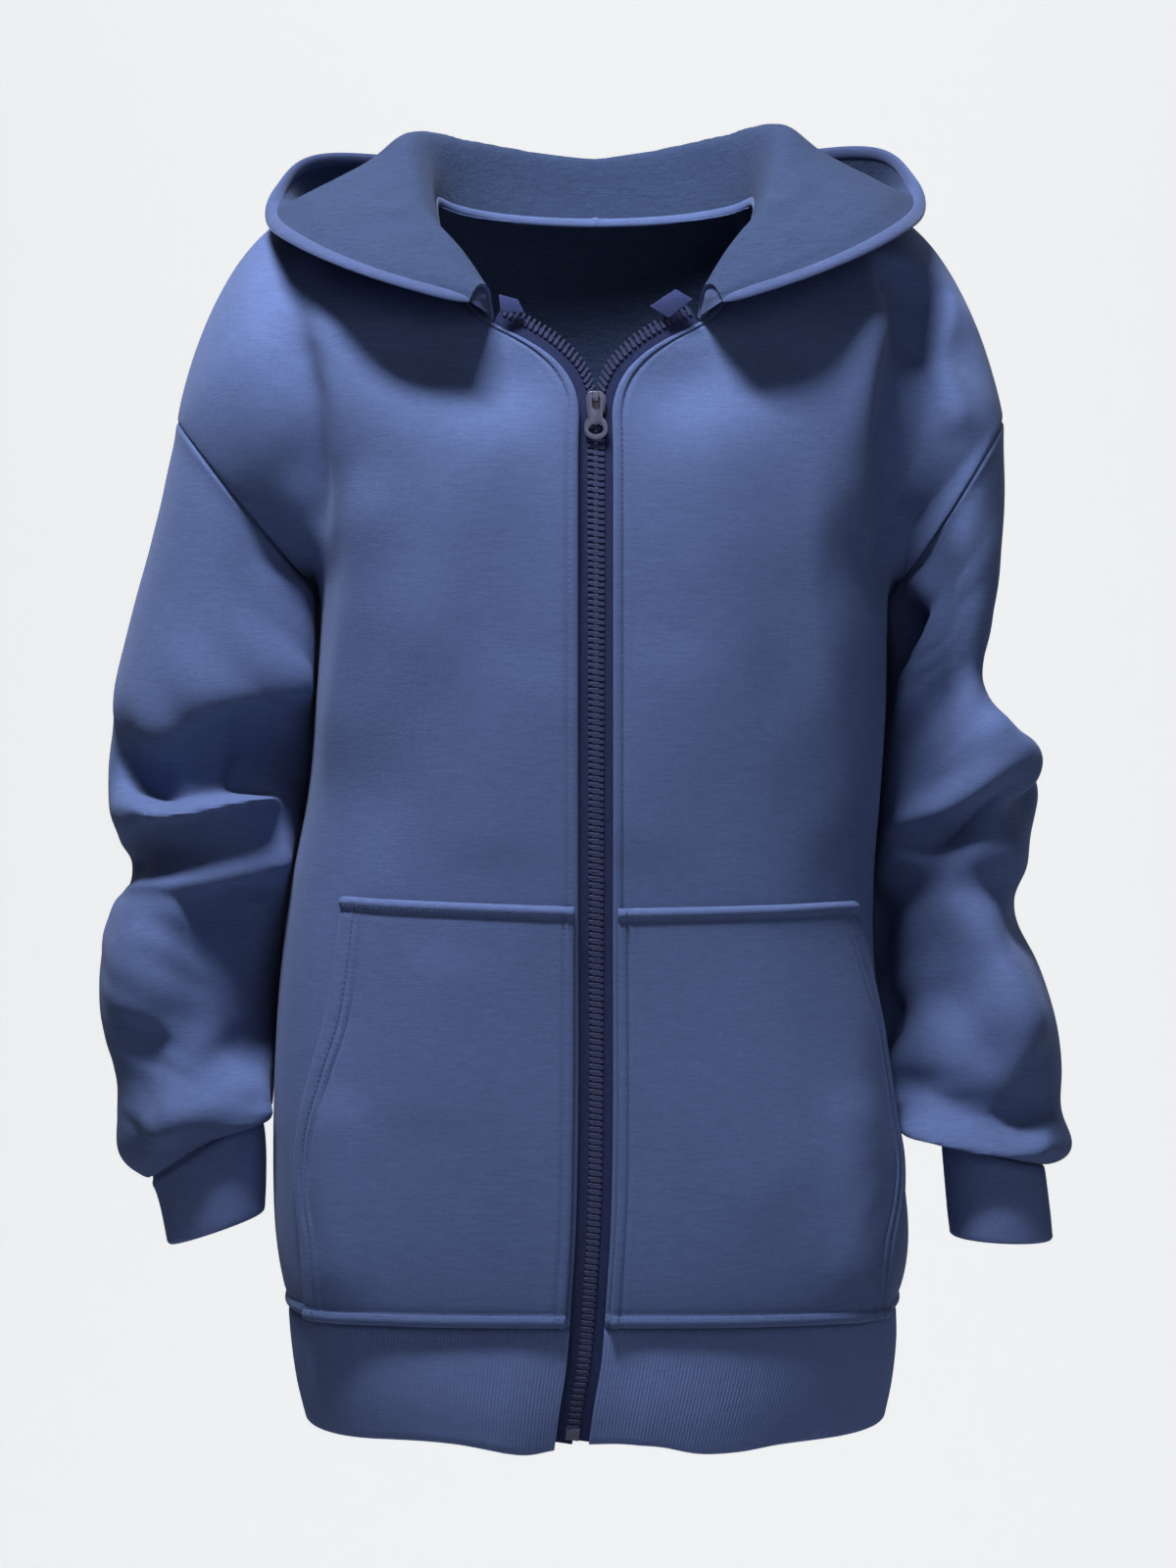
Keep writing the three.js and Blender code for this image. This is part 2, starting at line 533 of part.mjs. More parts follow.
// ---- the hood -----------------------------------------------------------------------------
// Stations round one half of the hood, from the top of the zip to the middle of the back. Each
// runs from the neckline seam (neck) over the standing fold (ridge), down into the fallen
// crown (bag) and up to the turned face edge (rim).
const hoodStations = [
  {
    neckX: 60, neckY: -105, neckZ: -42, riseX: 61, riseY: -108, riseZ: -35,
    ridgeX: 62, ridgeY: -112, ridgeZ: -29, fallX: 65, fallY: -116, fallZ: -27,
    bagX: 68, bagY: -120, bagZ: -29, turnX: 70, turnY: -123, turnZ: -33,
    rimX: 72, rimY: -125, rimZ: -38,
  },
  {
    neckX: 71, neckY: -91, neckZ: -28, riseX: 75, riseY: -91, riseZ: -13,
    ridgeX: 80, ridgeY: -92, ridgeZ: 0, fallX: 92, fallY: -100, fallZ: -2,
    bagX: 104, bagY: -109, bagZ: -8, turnX: 115, turnY: -117, turnZ: -15,
    rimX: 124, rimY: -124, rimZ: -23,
  },
  {
    neckX: 87, neckY: -69, neckZ: -6, riseX: 91, riseY: -66, riseZ: 10,
    ridgeX: 101, ridgeY: -62, ridgeZ: 26, fallX: 115, fallY: -67, fallZ: 27,
    bagX: 136, bagY: -73, bagZ: 21, turnX: 156, turnY: -79, turnZ: 12,
    rimX: 171, rimY: -84, rimZ: 2,
  },
  {
    neckX: 95, neckY: -34, neckZ: 23, riseX: 99, riseY: -30, riseZ: 40,
    ridgeX: 110, ridgeY: -27, ridgeZ: 57, fallX: 128, fallY: -24, fallZ: 58,
    bagX: 155, bagY: -24, bagZ: 51, turnX: 179, turnY: -27, turnZ: 40,
    rimX: 196, rimY: -30, rimZ: 28,
  },
  {
    neckX: 98, neckY: 4, neckZ: 47, riseX: 102, riseY: 7, riseZ: 66,
    ridgeX: 117, ridgeY: 12, ridgeZ: 87, fallX: 136, fallY: 13, fallZ: 74,
    bagX: 163, bagY: 12, bagZ: 52, turnX: 184, turnY: 16, turnZ: 43,
    rimX: 193, rimY: 10, rimZ: 52,
  },
  {
    neckX: 88, neckY: 32, neckZ: 47, riseX: 92, riseY: 38, riseZ: 76,
    ridgeX: 101, ridgeY: 44, ridgeZ: 100, fallX: 122, fallY: 62, fallZ: 72,
    bagX: 150, bagY: 88, bagZ: 12, turnX: 175, turnY: 86, turnZ: 38,
    rimX: 177, rimY: 60, rimZ: 80,
  },
  {
    neckX: 54, neckY: 56, neckZ: 45, riseX: 58, riseY: 64, riseZ: 76,
    ridgeX: 60, ridgeY: 68, ridgeZ: 97, fallX: 78, fallY: 104, fallZ: 40,
    bagX: 90, bagY: 126, bagZ: -84, turnX: 120, turnY: 148, turnZ: -14,
    rimX: 116, rimY: 118, rimZ: 89,
  },
  {
    neckX: 0, neckY: 65, neckZ: 44, riseX: 0, riseY: 72, riseZ: 70,
    ridgeX: 0, ridgeY: 78, ridgeZ: 91, fallX: 0, fallY: 114, fallZ: 14,
    bagX: 0, bagY: 132, bagZ: -128, turnX: 0, turnY: 165, turnZ: -50,
    rimX: 0, rimY: 138, rimZ: 83,
  },
];

// The left half stands a little higher than the right.
const hoodLift = { right: 0, left: 6 };

const hoodLines = ['neck', 'rise', 'ridge', 'fall', 'bag', 'turn', 'rim'];

/** The stations with one more past the middle of the back, so that the halves meet smoothly. */
function hoodStationsPastMiddle() {
  const mirrored = { ...hoodStations[hoodStations.length - 2] };
  for (const line of hoodLines) {
    mirrored[`${line}X`] *= -1;
  }
  return [...hoodStations, mirrored];
}

/** The middle of one half of the hood; u from the zip round to the back, v neckline to rim. */
function hoodSurface(side, lift) {
  const stations = hoodStationsPastMiddle();
  const middle = (hoodStations.length - 1) / (stations.length - 1);
  return (u, v) => {
    const row = smoothRow(stations, u * middle);
    return vector(
      side * smoothValue(hoodLines.map((line) => row[`${line}X`]), v),
      smoothValue(hoodLines.map((line) => row[`${line}Y`]), v),
      smoothValue(hoodLines.map((line) => row[`${line}Z`]), v)
        + lift * Math.sin(Math.PI * u) * Math.min(3 * v, 1),
    );
  };
}

// ---- hem band -----------------------------------------------------------------------------
const hemRows = [
  { z: hemSeamHeight - 1, edge: -5, front: -120, back: 111, right: 184, left: 180, square: 3.2 },
  { z: -648, edge: -7, front: -119, back: 110, right: 181, left: 179, square: 3.0 },
  { z: -672, edge: -11, front: -117, back: 108, right: 176, left: 175, square: 2.8 },
  { z: hemBottomHeight, edge: -14, front: -113, back: 104, right: 169, left: 169, square: 2.7 },
];

// Where the lower edge of the band hangs below its level (or rides above it, if negative).
const hemDrops = [
  { x: -38, width: 24, drop: 6 },
  { x: 68, width: 28, drop: 5 },
  { x: -104, width: 30, drop: -2 },
  { x: 28, width: 18, drop: -1.5 },
];

/** The middle of the hem band; u from the right zip edge round the back to the left, v down. */
function hemSurface(u, v) {
  const row = smoothRow(hemRows, v);
  const side = u < 0.5 ? -1 : 1;
  const turn = 4 * (u < 0.5 ? u : 1 - u);
  const front = turn < 1;
  const point = roundedRow({
    inX: front ? row.edge + side * zipHalfOpening : 0,
    inY: front ? row.front : row.back,
    inZ: row.z,
    outX: side * (side < 0 ? row.right : row.left),
    outY: 0,
    outZ: row.z,
    square: row.square,
    sweep: 90,
    crest: 0,
  }, front ? turn : 2 - turn);
  if (front) {
    for (const { x, width, drop } of hemDrops) {
      const distance = (point.x - x) / width;
      point.z -= drop * v * Math.exp(-distance * distance);
    }
  }
  return point;
}

// ---- pockets ------------------------------------------------------------------------------
// Outer edge of each pocket by height: the slanted hand opening, then the sewn side below it.
const pocketRows = [
  { z: hemSeamHeight + 1, right: 166, left: 168 },
  { z: -585, right: 168, left: 173 },
  { z: -546, right: 173, left: 179 },
  { z: -505, right: 168, left: 173 },
  { z: -450, right: 154, left: 164 },
  { z: -388, right: 145, left: 149 },
];
const pocketGap = 2.2;        // air under a pocket at its sewn edges
const pocketPuff = 2.0;       // and how much more under its middle

/** Grid of a pocket, from its panel's own points moved out. */
function pocketGrid(hole, panel, columns, rows) {
  const allRows = frontRows(hole).map((row) => ({ z: row.inZ }));
  const halfWidth = hole.side < 0 ? 'right' : 'left';
  return rows.map((t) => {
    const row = smoothRow(pocketRows, t);
    const v = placeOfHeight(allRows, row.z);
    let low = 0;
    let high = 1;
    for (let step = 0; step < 24; step += 1) {
      const middle = (low + high) / 2;
      if (Math.abs(panel(middle, v).x) < row[halfWidth]) {
        low = middle;
      } else {
        high = middle;
      }
    }
    return columns.map((share) => {
      const u = share * low;
      const bulge = Math.sin(Math.PI * share) * Math.sin(Math.PI * t);
      const gap = clothThickness + pocketGap + pocketPuff * bulge;
      return panel(u, v).addScaledVector(normalAt(panel, u, v), hole.side * gap);
    });
  });
}

// ---- the zip ------------------------------------------------------------------------------
/** Inner edge of a front from the hem's lower edge up to the end of the V, as table rows. */
function zipEdgeRows(side) {
  const closed = (row) => ({ x: row.edge + side * zipHalfOpening, y: row.front, z: row.z });
  const band = hemRows.slice(1).reverse().map(closed);
  const body = torsoRows.map(closed);
  const opened = chestRows.slice(0, 6).map(({ x, y, z }) => ({ x: side * x, y, z }));
  return [...band, ...body, ...opened];
}

/** A frame on the zip edge: the point, the way into the zip, and the way out of the cloth. */
function zipFrame(side, t) {
  const rows = zipEdgeRows(side);
  const at = (place) => {
    const { x, y, z } = smoothRow(rows, place);
    return vector(x, y, z);
  };
  const step = 0.004;
  const along = at(Math.min(t + step, 1)).sub(at(Math.max(t - step, 0))).normalize();
  const facing = vector(0, -1, 0);
  const inward = facing.clone().cross(along).multiplyScalar(side).normalize();
  const outward = along.clone().cross(inward).multiplyScalar(side).normalize();
  return { point: at(t), inward, outward };
}

/** A strip that follows the zip, between two distances into it, set back from the cloth. */
function zipStrip(side, places, from, to, setBack, thickness, count = 1) {
  const grid = places.map((t) => {
    const { point, inward, outward } = zipFrame(side, t);
    return steps(count, from, to).map((distance) => point.clone()
      .addScaledVector(inward, distance)
      .addScaledVector(outward, -setBack));
  });
  return wallOf(grid, { thickness });
}

/** The place along the zip edge that lies at a height. */
const zipPlace = (z) => placeOfHeight(zipEdgeRows(1), z);

const tapeSetBack = ribThickness / 2 + layerGap + tapeThickness / 2 + 0.3;
const slider = { top: -88, bottom: -104, width: 11.5, plate: 1.5, gap: 4.6, neck: 2.4 };
const zipPlaneY = -121.6 + tapeSetBack;
const sliderFrontY = zipPlaneY - slider.gap / 2 - slider.plate;
const pull = {
  axisY: sliderFrontY - 1.3,
  axisZ: -91.5,
  thickness: 1.4,
  halfWidth: 4.0,
  slotHalfWidth: 2.2,
  slotLength: 7.4,
  waistDrop: 11.8,
  waistHalfWidth: 3.7,
  ringDrop: 18.6,
  ringHalfWidth: 6.7,
  ringHalfHeight: 6.0,
  holeHalfWidth: 4.4,
  holeHalfHeight: 3.0,
};
const bridge = { halfWidth: 1.5, opening: 1.5, wall: 1.3 };

/** A closed three.js geometry as a manifold solid. */
function solidOf(geometry) {
  const bare = geometry.clone();
  bare.deleteAttribute('normal');
  bare.deleteAttribute('uv');
  const merged = mergeVertices(bare, 1e-4);
  return new wasm.Manifold(new wasm.Mesh({
    numProp: 3,
    vertProperties: new Float32Array(merged.getAttribute('position').array),
    triVerts: new Uint32Array(merged.getIndex().array),
  }));
}

/** A manifold solid back as a three.js geometry. */
function geometryOf(solid) {
  const mesh = solid.getMesh();
  const geometry = new THREE.BufferGeometry();
  const positions = new Float32Array(mesh.vertProperties);
  geometry.setAttribute('position', new THREE.BufferAttribute(positions, 3));
  geometry.setIndex(new THREE.BufferAttribute(new Uint32Array(mesh.triVerts), 1));
  geometry.computeVertexNormals();
  return geometry;
}

/** A box given by its two corners. */
function boxSolid(from, to) {
  const geometry = new THREE.BoxGeometry(to[0] - from[0], to[1] - from[1], to[2] - from[2]);
  geometry.translate((from[0] + to[0]) / 2, (from[1] + to[1]) / 2, (from[2] + to[2]) / 2);
  return solidOf(geometry);
}

/** A flat plate drawn in x and z, from one depth to another. */
function plateSolid(shape, fromY, toY) {
  const depth = toY - fromY;
  const geometry = new THREE.ExtrudeGeometry(shape, {
    depth, bevelEnabled: false, curveSegments: 12,
  });
  geometry.rotateX(Math.PI / 2);
  geometry.translate(0, toY, 0);
  return solidOf(geometry);
}

/** Slider body: two shield plates on a middle post, with the bridge that carries the pull. */
function sliderGeometry() {
  const half = slider.width / 2;
  const shield = new THREE.Shape();
  shield.moveTo(-half * 0.72, slider.bottom);
  shield.lineTo(half * 0.72, slider.bottom);
  shield.quadraticCurveTo(half * 0.95, slider.bottom + 5, half, slider.top - 5);
  shield.quadraticCurveTo(half, slider.top - 1, half * 0.4, slider.top);
  shield.lineTo(-half * 0.4, slider.top);
  shield.quadraticCurveTo(-half, slider.top - 1, -half, slider.top - 5);
  shield.quadraticCurveTo(-half * 0.95, slider.bottom + 5, -half * 0.72, slider.bottom);
  const backFrom = zipPlaneY + slider.gap / 2;
  let solid = plateSolid(shield, sliderFrontY, sliderFrontY + slider.plate);
  solid = solid.add(plateSolid(shield, backFrom, backFrom + slider.plate));
  const postHalf = slider.neck / 2;
  solid = solid.add(boxSolid(
    [-postHalf, sliderFrontY + 0.5, slider.top - 4.5],
    [postHalf, backFrom + 0.5, slider.top - 0.6],
  ));
  const reach = bridge.opening + bridge.wall;
  const arch = boxSolid(
    [-bridge.halfWidth, pull.axisY - reach, pull.axisZ - reach],
    [bridge.halfWidth, sliderFrontY + 0.5, pull.axisZ + reach],
  );
  const hollow = boxSolid(
    [-bridge.halfWidth - 1, pull.axisY - bridge.opening, pull.axisZ - bridge.opening],
    [bridge.halfWidth + 1, sliderFrontY, pull.axisZ + bridge.opening],
  );
  return geometryOf(solid.add(arch.subtract(hollow)));
}

/** Pull tab: two arms on a crossbar through the bridge, then a waist and a ring with a hole. */
function pullGeometry() {
  const halfBar = pull.thickness / 2;
  const outline = new THREE.Shape();
  outline.moveTo(-pull.halfWidth, halfBar);
  outline.lineTo(-pull.halfWidth, -pull.slotLength);
  outline.quadraticCurveTo(-pull.halfWidth, -pull.waistDrop, -pull.waistHalfWidth, -pull.waistDrop);
  outline.quadraticCurveTo(
    -pull.ringHalfWidth, -pull.waistDrop - 1.5, -pull.ringHalfWidth, -pull.ringDrop,
  );
  outline.absellipse(
    0, -pull.ringDrop, pull.ringHalfWidth, pull.ringHalfHeight, Math.PI, 2 * Math.PI, false,
  );
  outline.quadraticCurveTo(
    pull.ringHalfWidth, -pull.waistDrop - 1.5, pull.waistHalfWidth, -pull.waistDrop,
  );
  outline.quadraticCurveTo(pull.halfWidth, -pull.waistDrop, pull.halfWidth, -pull.slotLength);
  outline.lineTo(pull.halfWidth, halfBar);
  outline.lineTo(-pull.halfWidth, halfBar);
  const slot = new THREE.Path();
  slot.moveTo(-pull.slotHalfWidth, -halfBar);
  slot.lineTo(pull.slotHalfWidth, -halfBar);
  slot.lineTo(pull.slotHalfWidth, -pull.slotLength + 1);
  slot.quadraticCurveTo(0, -pull.slotLength - 1, -pull.slotHalfWidth, -pull.slotLength + 1);
  slot.lineTo(-pull.slotHalfWidth, -halfBar);
  const hole = new THREE.Path();
  hole.absellipse(
    0, -pull.ringDrop, pull.holeHalfWidth, pull.holeHalfHeight, 0, 2 * Math.PI, true,
  );
  outline.holes.push(slot, hole);
  const plate = plateSolid(outline, -halfBar, halfBar);
  const geometry = geometryOf(plate);
  geometry.translate(0, pull.axisY, pull.axisZ);
  return geometry;
}

// Loose upper ends of the tapes beside the hood: four corners each, in x and z.
const tapeEnds = {
  left: { y: -113, corners: [[31, -38], [46, -28], [56, -34], [42, -45]] },
  right: { y: -113, corners: [[-56, -31], [-45, -34], [-41, -42], [-55, -41]] },
};

/** A small square of tape between four corners. */
function tapeEndGeometry({ y, corners }) {
  const [a, b, c, d] = corners.map(([x, z]) => vector(x, y, z));
  const grid = [[a, b], [d, c]];
  return wallOf(grid, { thickness: tapeThickness });
}

// ---- finishes -----------------------------------------------------------------------------
const finishes = {
  jersey: { color: 0x35507e, roughness: 0.95, metalness: 0 },
  rib: { color: 0x334d7a, roughness: 0.95, metalness: 0 },
  tape: { color: 0x2c2f4d, roughness: 0.9, metalness: 0 },
  teeth: { color: 0x454862, roughness: 0.5, metalness: 0 },
  painted: { color: 0x4a5068, roughness: 0.4, metalness: 0.6 },
};

const hoodie = new THREE.Group();

/** Adds one named piece with a finish of its own. */
function addPiece(name, geometry, finish) {
  const mesh = new THREE.Mesh(geometry, new THREE.MeshStandardMaterial(finishes[finish]));
  mesh.name = name;
  hoodie.add(mesh);
}

// ---- assembly -----------------------------------------------------------------------------
const cornerPlace = 14 / 17;  // the row of a front where the V meets the neckline
const frontColumns = steps(18);
const frontPlaces = [...steps(17, 0, cornerPlace), ...steps(5, cornerPlace, 1).slice(1)];
const ringTurns = steps(20).slice(0, -1);
const rimThickness = 4.4;
const zipTop = 1;
const zipBoxTop = -686;
const zipBoxBottom = -694.5;
const zipBoxThickness = 4.2;

for (const [name, hole] of Object.entries(armholes)) {
  const panel = frontSurface(hole, frontFolds[name]);
  addPiece(`front_${name}`, wallOf(insetBorders(gridOf(panel, frontColumns, frontPlaces),
    seamGap, ['bottom', 'top', 'end'])), 'jersey');

  const sleeve = tubeSurface(hole.side, sleeveRows[name], sleeveFolds[name]);
  addPiece(`sleeve_${name}`, wallOf(insetBorders(gridOf(sleeve, ringTurns, steps(25)),
    seamGap, ['bottom', 'top']), { ring: true }), 'jersey');

  const cuff = tubeSurface(hole.side, cuffRows[name], []);
  addPiece(`cuff_${name}`, wallOf(gridOf(cuff, ringTurns, steps(4)),
    { ring: true, thickness: ribThickness }), 'rib');

  const hood = hoodSurface(hole.side, hoodLift[name]);
  const hoodGrid = gridOf(hood, steps(16), steps(14));
  const turned = (r) => (r >= 13 ? rimThickness : clothThickness);
  addPiece(`hood_${name}`, wallOf(insetBorders(hoodGrid, seamGap, ['end']),
    { thickness: turned }), 'jersey');

  addPiece(`pocket_${name}`, wallOf(pocketGrid(hole, panel, steps(12, 0.02, 1), steps(9))),
    'jersey');

  addPiece(`zip_tape_${name}`,
    zipStrip(hole.side, steps(26), -6, 5.6, tapeSetBack, tapeThickness, 2), 'tape');
  addPiece(`zip_teeth_${name}`,
    zipStrip(hole.side, steps(10, zipPlace(slider.top + 1.2), zipTop), 6.4, 9.6, tapeSetBack,
      chainThickness), 'teeth');
  addPiece(`tape_end_${name}`, tapeEndGeometry(tapeEnds[name]), 'tape');
}

addPiece('back', wallOf(insetBorders(gridOf(backSurface(), steps(24), steps(21)), seamGap)),
  'jersey');
addPiece('hem_band', wallOf(gridOf(hemSurface, steps(52), steps(3)),
  { thickness: ribThickness }), 'rib');

/** A bar along the middle of the zip, between two heights. */
function zipBar(count, bottom, top, thickness) {
  const places = steps(count, zipPlace(bottom), zipPlace(top));
  const grid = places.map((t) => {
    const { point, inward, outward } = zipFrame(1, t);
    return [zipHalfOpening - chainHalfWidth, zipHalfOpening + chainHalfWidth].map((distance) => (
      point.clone().addScaledVector(inward, distance).addScaledVector(outward, -tapeSetBack)));
  });
  return wallOf(grid, { thickness });
}

addPiece('zip_chain', zipBar(18, zipBoxTop, slider.bottom - 0.5, chainThickness), 'teeth');
addPiece('zip_box', zipBar(2, zipBoxBottom, zipBoxTop - 0.5, zipBoxThickness), 'painted');
addPiece('zip_slider', sliderGeometry(), 'painted');
addPiece('zip_pull', pullGeometry(), 'painted');

export default hoodie;
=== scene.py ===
import math

import bmesh
import bpy
import numpy as np
from mathutils import Matrix, Vector


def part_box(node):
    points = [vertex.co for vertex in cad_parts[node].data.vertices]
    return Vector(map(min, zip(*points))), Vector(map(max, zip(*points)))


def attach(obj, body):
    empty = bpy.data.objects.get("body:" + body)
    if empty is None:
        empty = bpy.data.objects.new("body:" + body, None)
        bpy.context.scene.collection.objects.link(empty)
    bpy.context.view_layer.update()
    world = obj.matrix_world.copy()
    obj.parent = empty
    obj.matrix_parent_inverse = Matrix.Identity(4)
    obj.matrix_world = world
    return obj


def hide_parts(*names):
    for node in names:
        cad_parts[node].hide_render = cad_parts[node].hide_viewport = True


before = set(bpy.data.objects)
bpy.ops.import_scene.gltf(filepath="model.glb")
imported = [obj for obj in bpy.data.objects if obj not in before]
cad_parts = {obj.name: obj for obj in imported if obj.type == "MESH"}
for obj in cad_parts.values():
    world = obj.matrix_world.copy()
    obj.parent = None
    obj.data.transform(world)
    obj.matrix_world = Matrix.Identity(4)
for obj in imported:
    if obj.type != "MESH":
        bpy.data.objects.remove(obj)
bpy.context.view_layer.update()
mm = 0.001
sides = {"right": -1, "left": 1}     # the wearer's, and their direction along x

# camera: level, in front of the zip

cameraSet = {"place": (-0.0045, -1.930, -0.3136), "turn": 90, "lens": 72.3, "longSide": 36.0}
cameraData = bpy.data.cameras.new("frontCamera")
cameraData.lens = cameraSet["lens"]
cameraData.sensor_width = cameraSet["longSide"]
camera = bpy.data.objects.new("frontCamera", cameraData)
camera.location = cameraSet["place"]
camera.rotation_euler = (math.radians(cameraSet["turn"]), 0, 0)
bpy.context.scene.collection.objects.link(camera)
bpy.context.scene.camera = camera


# finishes

tintSpan = (0.30, 0.70)     # where a tint's dark end and light end lie


class Finish:
    # adds nodes to one material and joins them
    def __init__(self, name, base, roughness):
        self.material = bpy.data.materials.new(name)
        self.material.use_nodes = True
        self.nodes = self.material.node_tree.nodes
        self.links = self.material.node_tree.links
        self.shader = self.nodes["Principled BSDF"]
        self.shader.inputs["Base Color"].default_value = (*base, 1)
        self.shader.inputs["Roughness"].default_value = roughness
        self.height = None

    def add(self, kind, **values):
        node = self.nodes.new(kind)
        for key, value in values.items():
            if key in node.inputs:
                node.inputs[key].default_value = value
            else:
                setattr(node, key, value)
        return node

    def join(self, fromSocket, toSocket):
        self.links.new(fromSocket, toSocket)

    def places(self, scale=(1, 1, 1), useUv=False):
        source = self.add("ShaderNodeTexCoord")
        mapping = self.add("ShaderNodeMapping")
        mapping.inputs["Scale"].default_value = scale
        self.join(source.outputs["UV" if useUv else "Object"], mapping.inputs["Vector"])
        return mapping.outputs["Vector"]

    def noise(self, vector, scale, detail=3.0, roughness=0.55):
        node = self.add("ShaderNodeTexNoise", Scale=scale, Detail=detail, Roughness=roughness)
        self.join(vector, node.inputs["Vector"])
        return node.outputs["Fac"]

    def math(self, kind, first, second):
        node = self.add("ShaderNodeMath", operation=kind)
        for socket, value in zip(node.inputs, (first, second)):
            if isinstance(value, (int, float)):
                socket.default_value = value
            else:
                self.join(value, socket)
        return node.outputs[0]

    def tint(self, amount, dark, light, before=None):
        # the colour between dark and light by amount, multiplied into the one before it
        ramp = self.add("ShaderNodeValToRGB")
        for end, position, colour in zip(ramp.color_ramp.elements, tintSpan, (dark, light)):
            end.position = position
            end.color = (*colour, 1)
        self.join(amount, ramp.inputs["Fac"])
        if before is None:
            return ramp.outputs["Color"]
        mix = self.add("ShaderNodeMix", data_type="RGBA", blend_type="MULTIPLY")
        mix.inputs[0].default_value = 1.0
        self.join(before, mix.inputs[6])
        self.join(ramp.outputs["Color"], mix.inputs[7])
        return mix.outputs[2]

    def bump(self, height, distance, strength=1.0):
        node = self.add("ShaderNodeBump", Distance=distance, Strength=strength)
        self.join(height, node.inputs["Height"])
        if self.height is not None:
            self.join(self.height, node.inputs["Normal"])
        self.height = node.outputs["Normal"]
        self.join(self.height, self.shader.inputs["Normal"])

    def sheen(self, weight, roughness, tint):
        self.shader.inputs["Sheen Weight"].default_value = weight
        self.shader.inputs["Sheen Roughness"].default_value = roughness
        self.shader.inputs["Sheen Tint"].default_value = (*tint, 1)

    def shine(self, level):
        self.shader.inputs["Specular IOR Level"].default_value = level


def knitHeight(finish, wale, course):
    # rows of small V stitches: columns wale metres apart, rows course metres apart
    where = finish.places((1 / wale, 1 / course, 1), useUv=True)
    parts = finish.add("ShaderNodeSeparateXYZ")
    finish.join(where, parts.inputs[0])
    across = finish.math("PINGPONG", parts.outputs[0], 0.5)
    slanted = finish.math("ADD", parts.outputs[1], across)
    rows = finish.math("SINE", finish.math("MULTIPLY", slanted, 2 * math.pi), 0)
    columns = finish.math("SINE", finish.math("MULTIPLY", across, 2 * math.pi), 0)
    return finish.math("ADD", finish.math("MULTIPLY", rows, clothLook["rowShare"]), columns)


clothLook = {
    # the fleece colour is far darker than the jersey: painted shade for the inside of the hood's
    # lobes
    "jersey": (0.088, 0.129, 0.298), "shadedFleece": (0.029, 0.047, 0.110),
    # rib: lighter than the jersey, painted light for the hem band catching light from above
    # rim: a darker copy of the jersey, painted shade on the hood's rolled rim
    "rim": (0.055, 0.079, 0.186), "rib": (0.120, 0.170, 0.385),
    "wale": 1.25 * mm, "course": 0.95 * mm, "rowShare": 0.35, "knitDeep": 0.12 * mm,
    "roughness": 0.92, "shine": 0.12,
    "sheen": 0.18, "pileSheen": 0.07, "sheenSpread": 0.45, "sheenTint": (0.45, 0.55, 0.85),
    "fine": (420, 4), "fineStretch": (1, 1, 3.2),
    "slub": (560, 3), "slubStretch": (0.16, 0.16, 1.9),
    "cloud": (9, 2), "pile": (260, 5, 0.7), "tufts": (90, 4, 0.6),
}


def clothFinish(name, base, slubAmount=0.10, pile=False):
    cloth = Finish(name, base, clothLook["roughness"])
    fine = cloth.noise(cloth.places(clothLook["fineStretch"]), *clothLook["fine"])
    slub = cloth.noise(cloth.places(clothLook["slubStretch"]), *clothLook["slub"])
    wide = cloth.noise(cloth.places(), *clothLook["cloud"])
    colour = cloth.tint(wide, [c * 0.96 for c in base], [c * 1.04 for c in base])
    less, more = 1 - slubAmount, 1 + slubAmount
    colour = cloth.tint(slub, (less,) * 3, (more,) * 3, colour)
    colour = cloth.tint(fine, (less,) * 3, (more, more, more * 0.99), colour)
    cloth.join(colour, cloth.shader.inputs["Base Color"])
    cloth.shine(clothLook["shine"])
    cloth.sheen(clothLook["pileSheen" if pile else "sheen"], clothLook["sheenSpread"],
                clothLook["sheenTint"])
    if pile:
        cloth.bump(cloth.noise(cloth.places(), *clothLook["pile"]), 1.6 * mm, 0.55)
        cloth.bump(cloth.noise(cloth.places(), *clothLook["tufts"]), 2.2 * mm, 0.4)
    else:
        cloth.bump(knitHeight(cloth, clothLook["wale"], clothLook["course"]),
                   clothLook["knitDeep"], 0.6)
        cloth.bump(fine, 0.25 * mm, 0.5)
    return cloth.material


jersey = clothFinish("jerseyFace", clothLook["jersey"])
# the brushed inside: its darkness is painted shade for the hood's lobes
shadedFleece = clothFinish("brushedInsideShaded", clothLook["shadedFleece"], 0.13, pile=True)
# rib knit set lighter than the jersey: painted light for the hem band, which the cuffs share
ribKnitPaintedLight = clothFinish("ribKnitPaintedLight", clothLook["rib"], 0.08)
# the same jersey darkened: painted shade on the hood's rim and its front ends
shadedRimJersey = clothFinish("shadedRimJersey", clothLook["rim"])


def grainedFinish(name, base, roughness, grain, dark, light, relief, strength):
    # a plain finish with a fine grain in its colour and its surface
    made = Finish(name, base, roughness)
    spots = made.noise(made.places(), *grain)
    made.join(made.tint(spots, dark, light), made.shader.inputs["Base Color"])
    made.bump(spots, relief, strength)
    return made


tapeLook = {"roughness": 0.8, "warp": 0.7 * mm, "weft": 0.55 * mm, "grain": (500, 3),
            "deep": 0.10 * mm, "shine": 0.06}


def tapeFinish(name, dark, light):
    tape = Finish(name, dark, tapeLook["roughness"])
    warp, weft = tapeLook["warp"], tapeLook["weft"]
    parts = tape.add("ShaderNodeSeparateXYZ")
    tape.join(tape.places((1 / warp, 1 / warp, 1 / weft)), parts.inputs[0])
    waves = [tape.math("SINE", tape.math("MULTIPLY", parts.outputs[k], 2 * math.pi), 0)
             for k in (0, 2)]
    grain = tape.noise(tape.places(), *tapeLook["grain"])
    tape.join(tape.tint(grain, dark, light), tape.shader.inputs["Base Color"])
    tape.bump(tape.math("MULTIPLY", *waves), tapeLook["deep"], 0.7)
    tape.shine(tapeLook["shine"])
    return tape.material
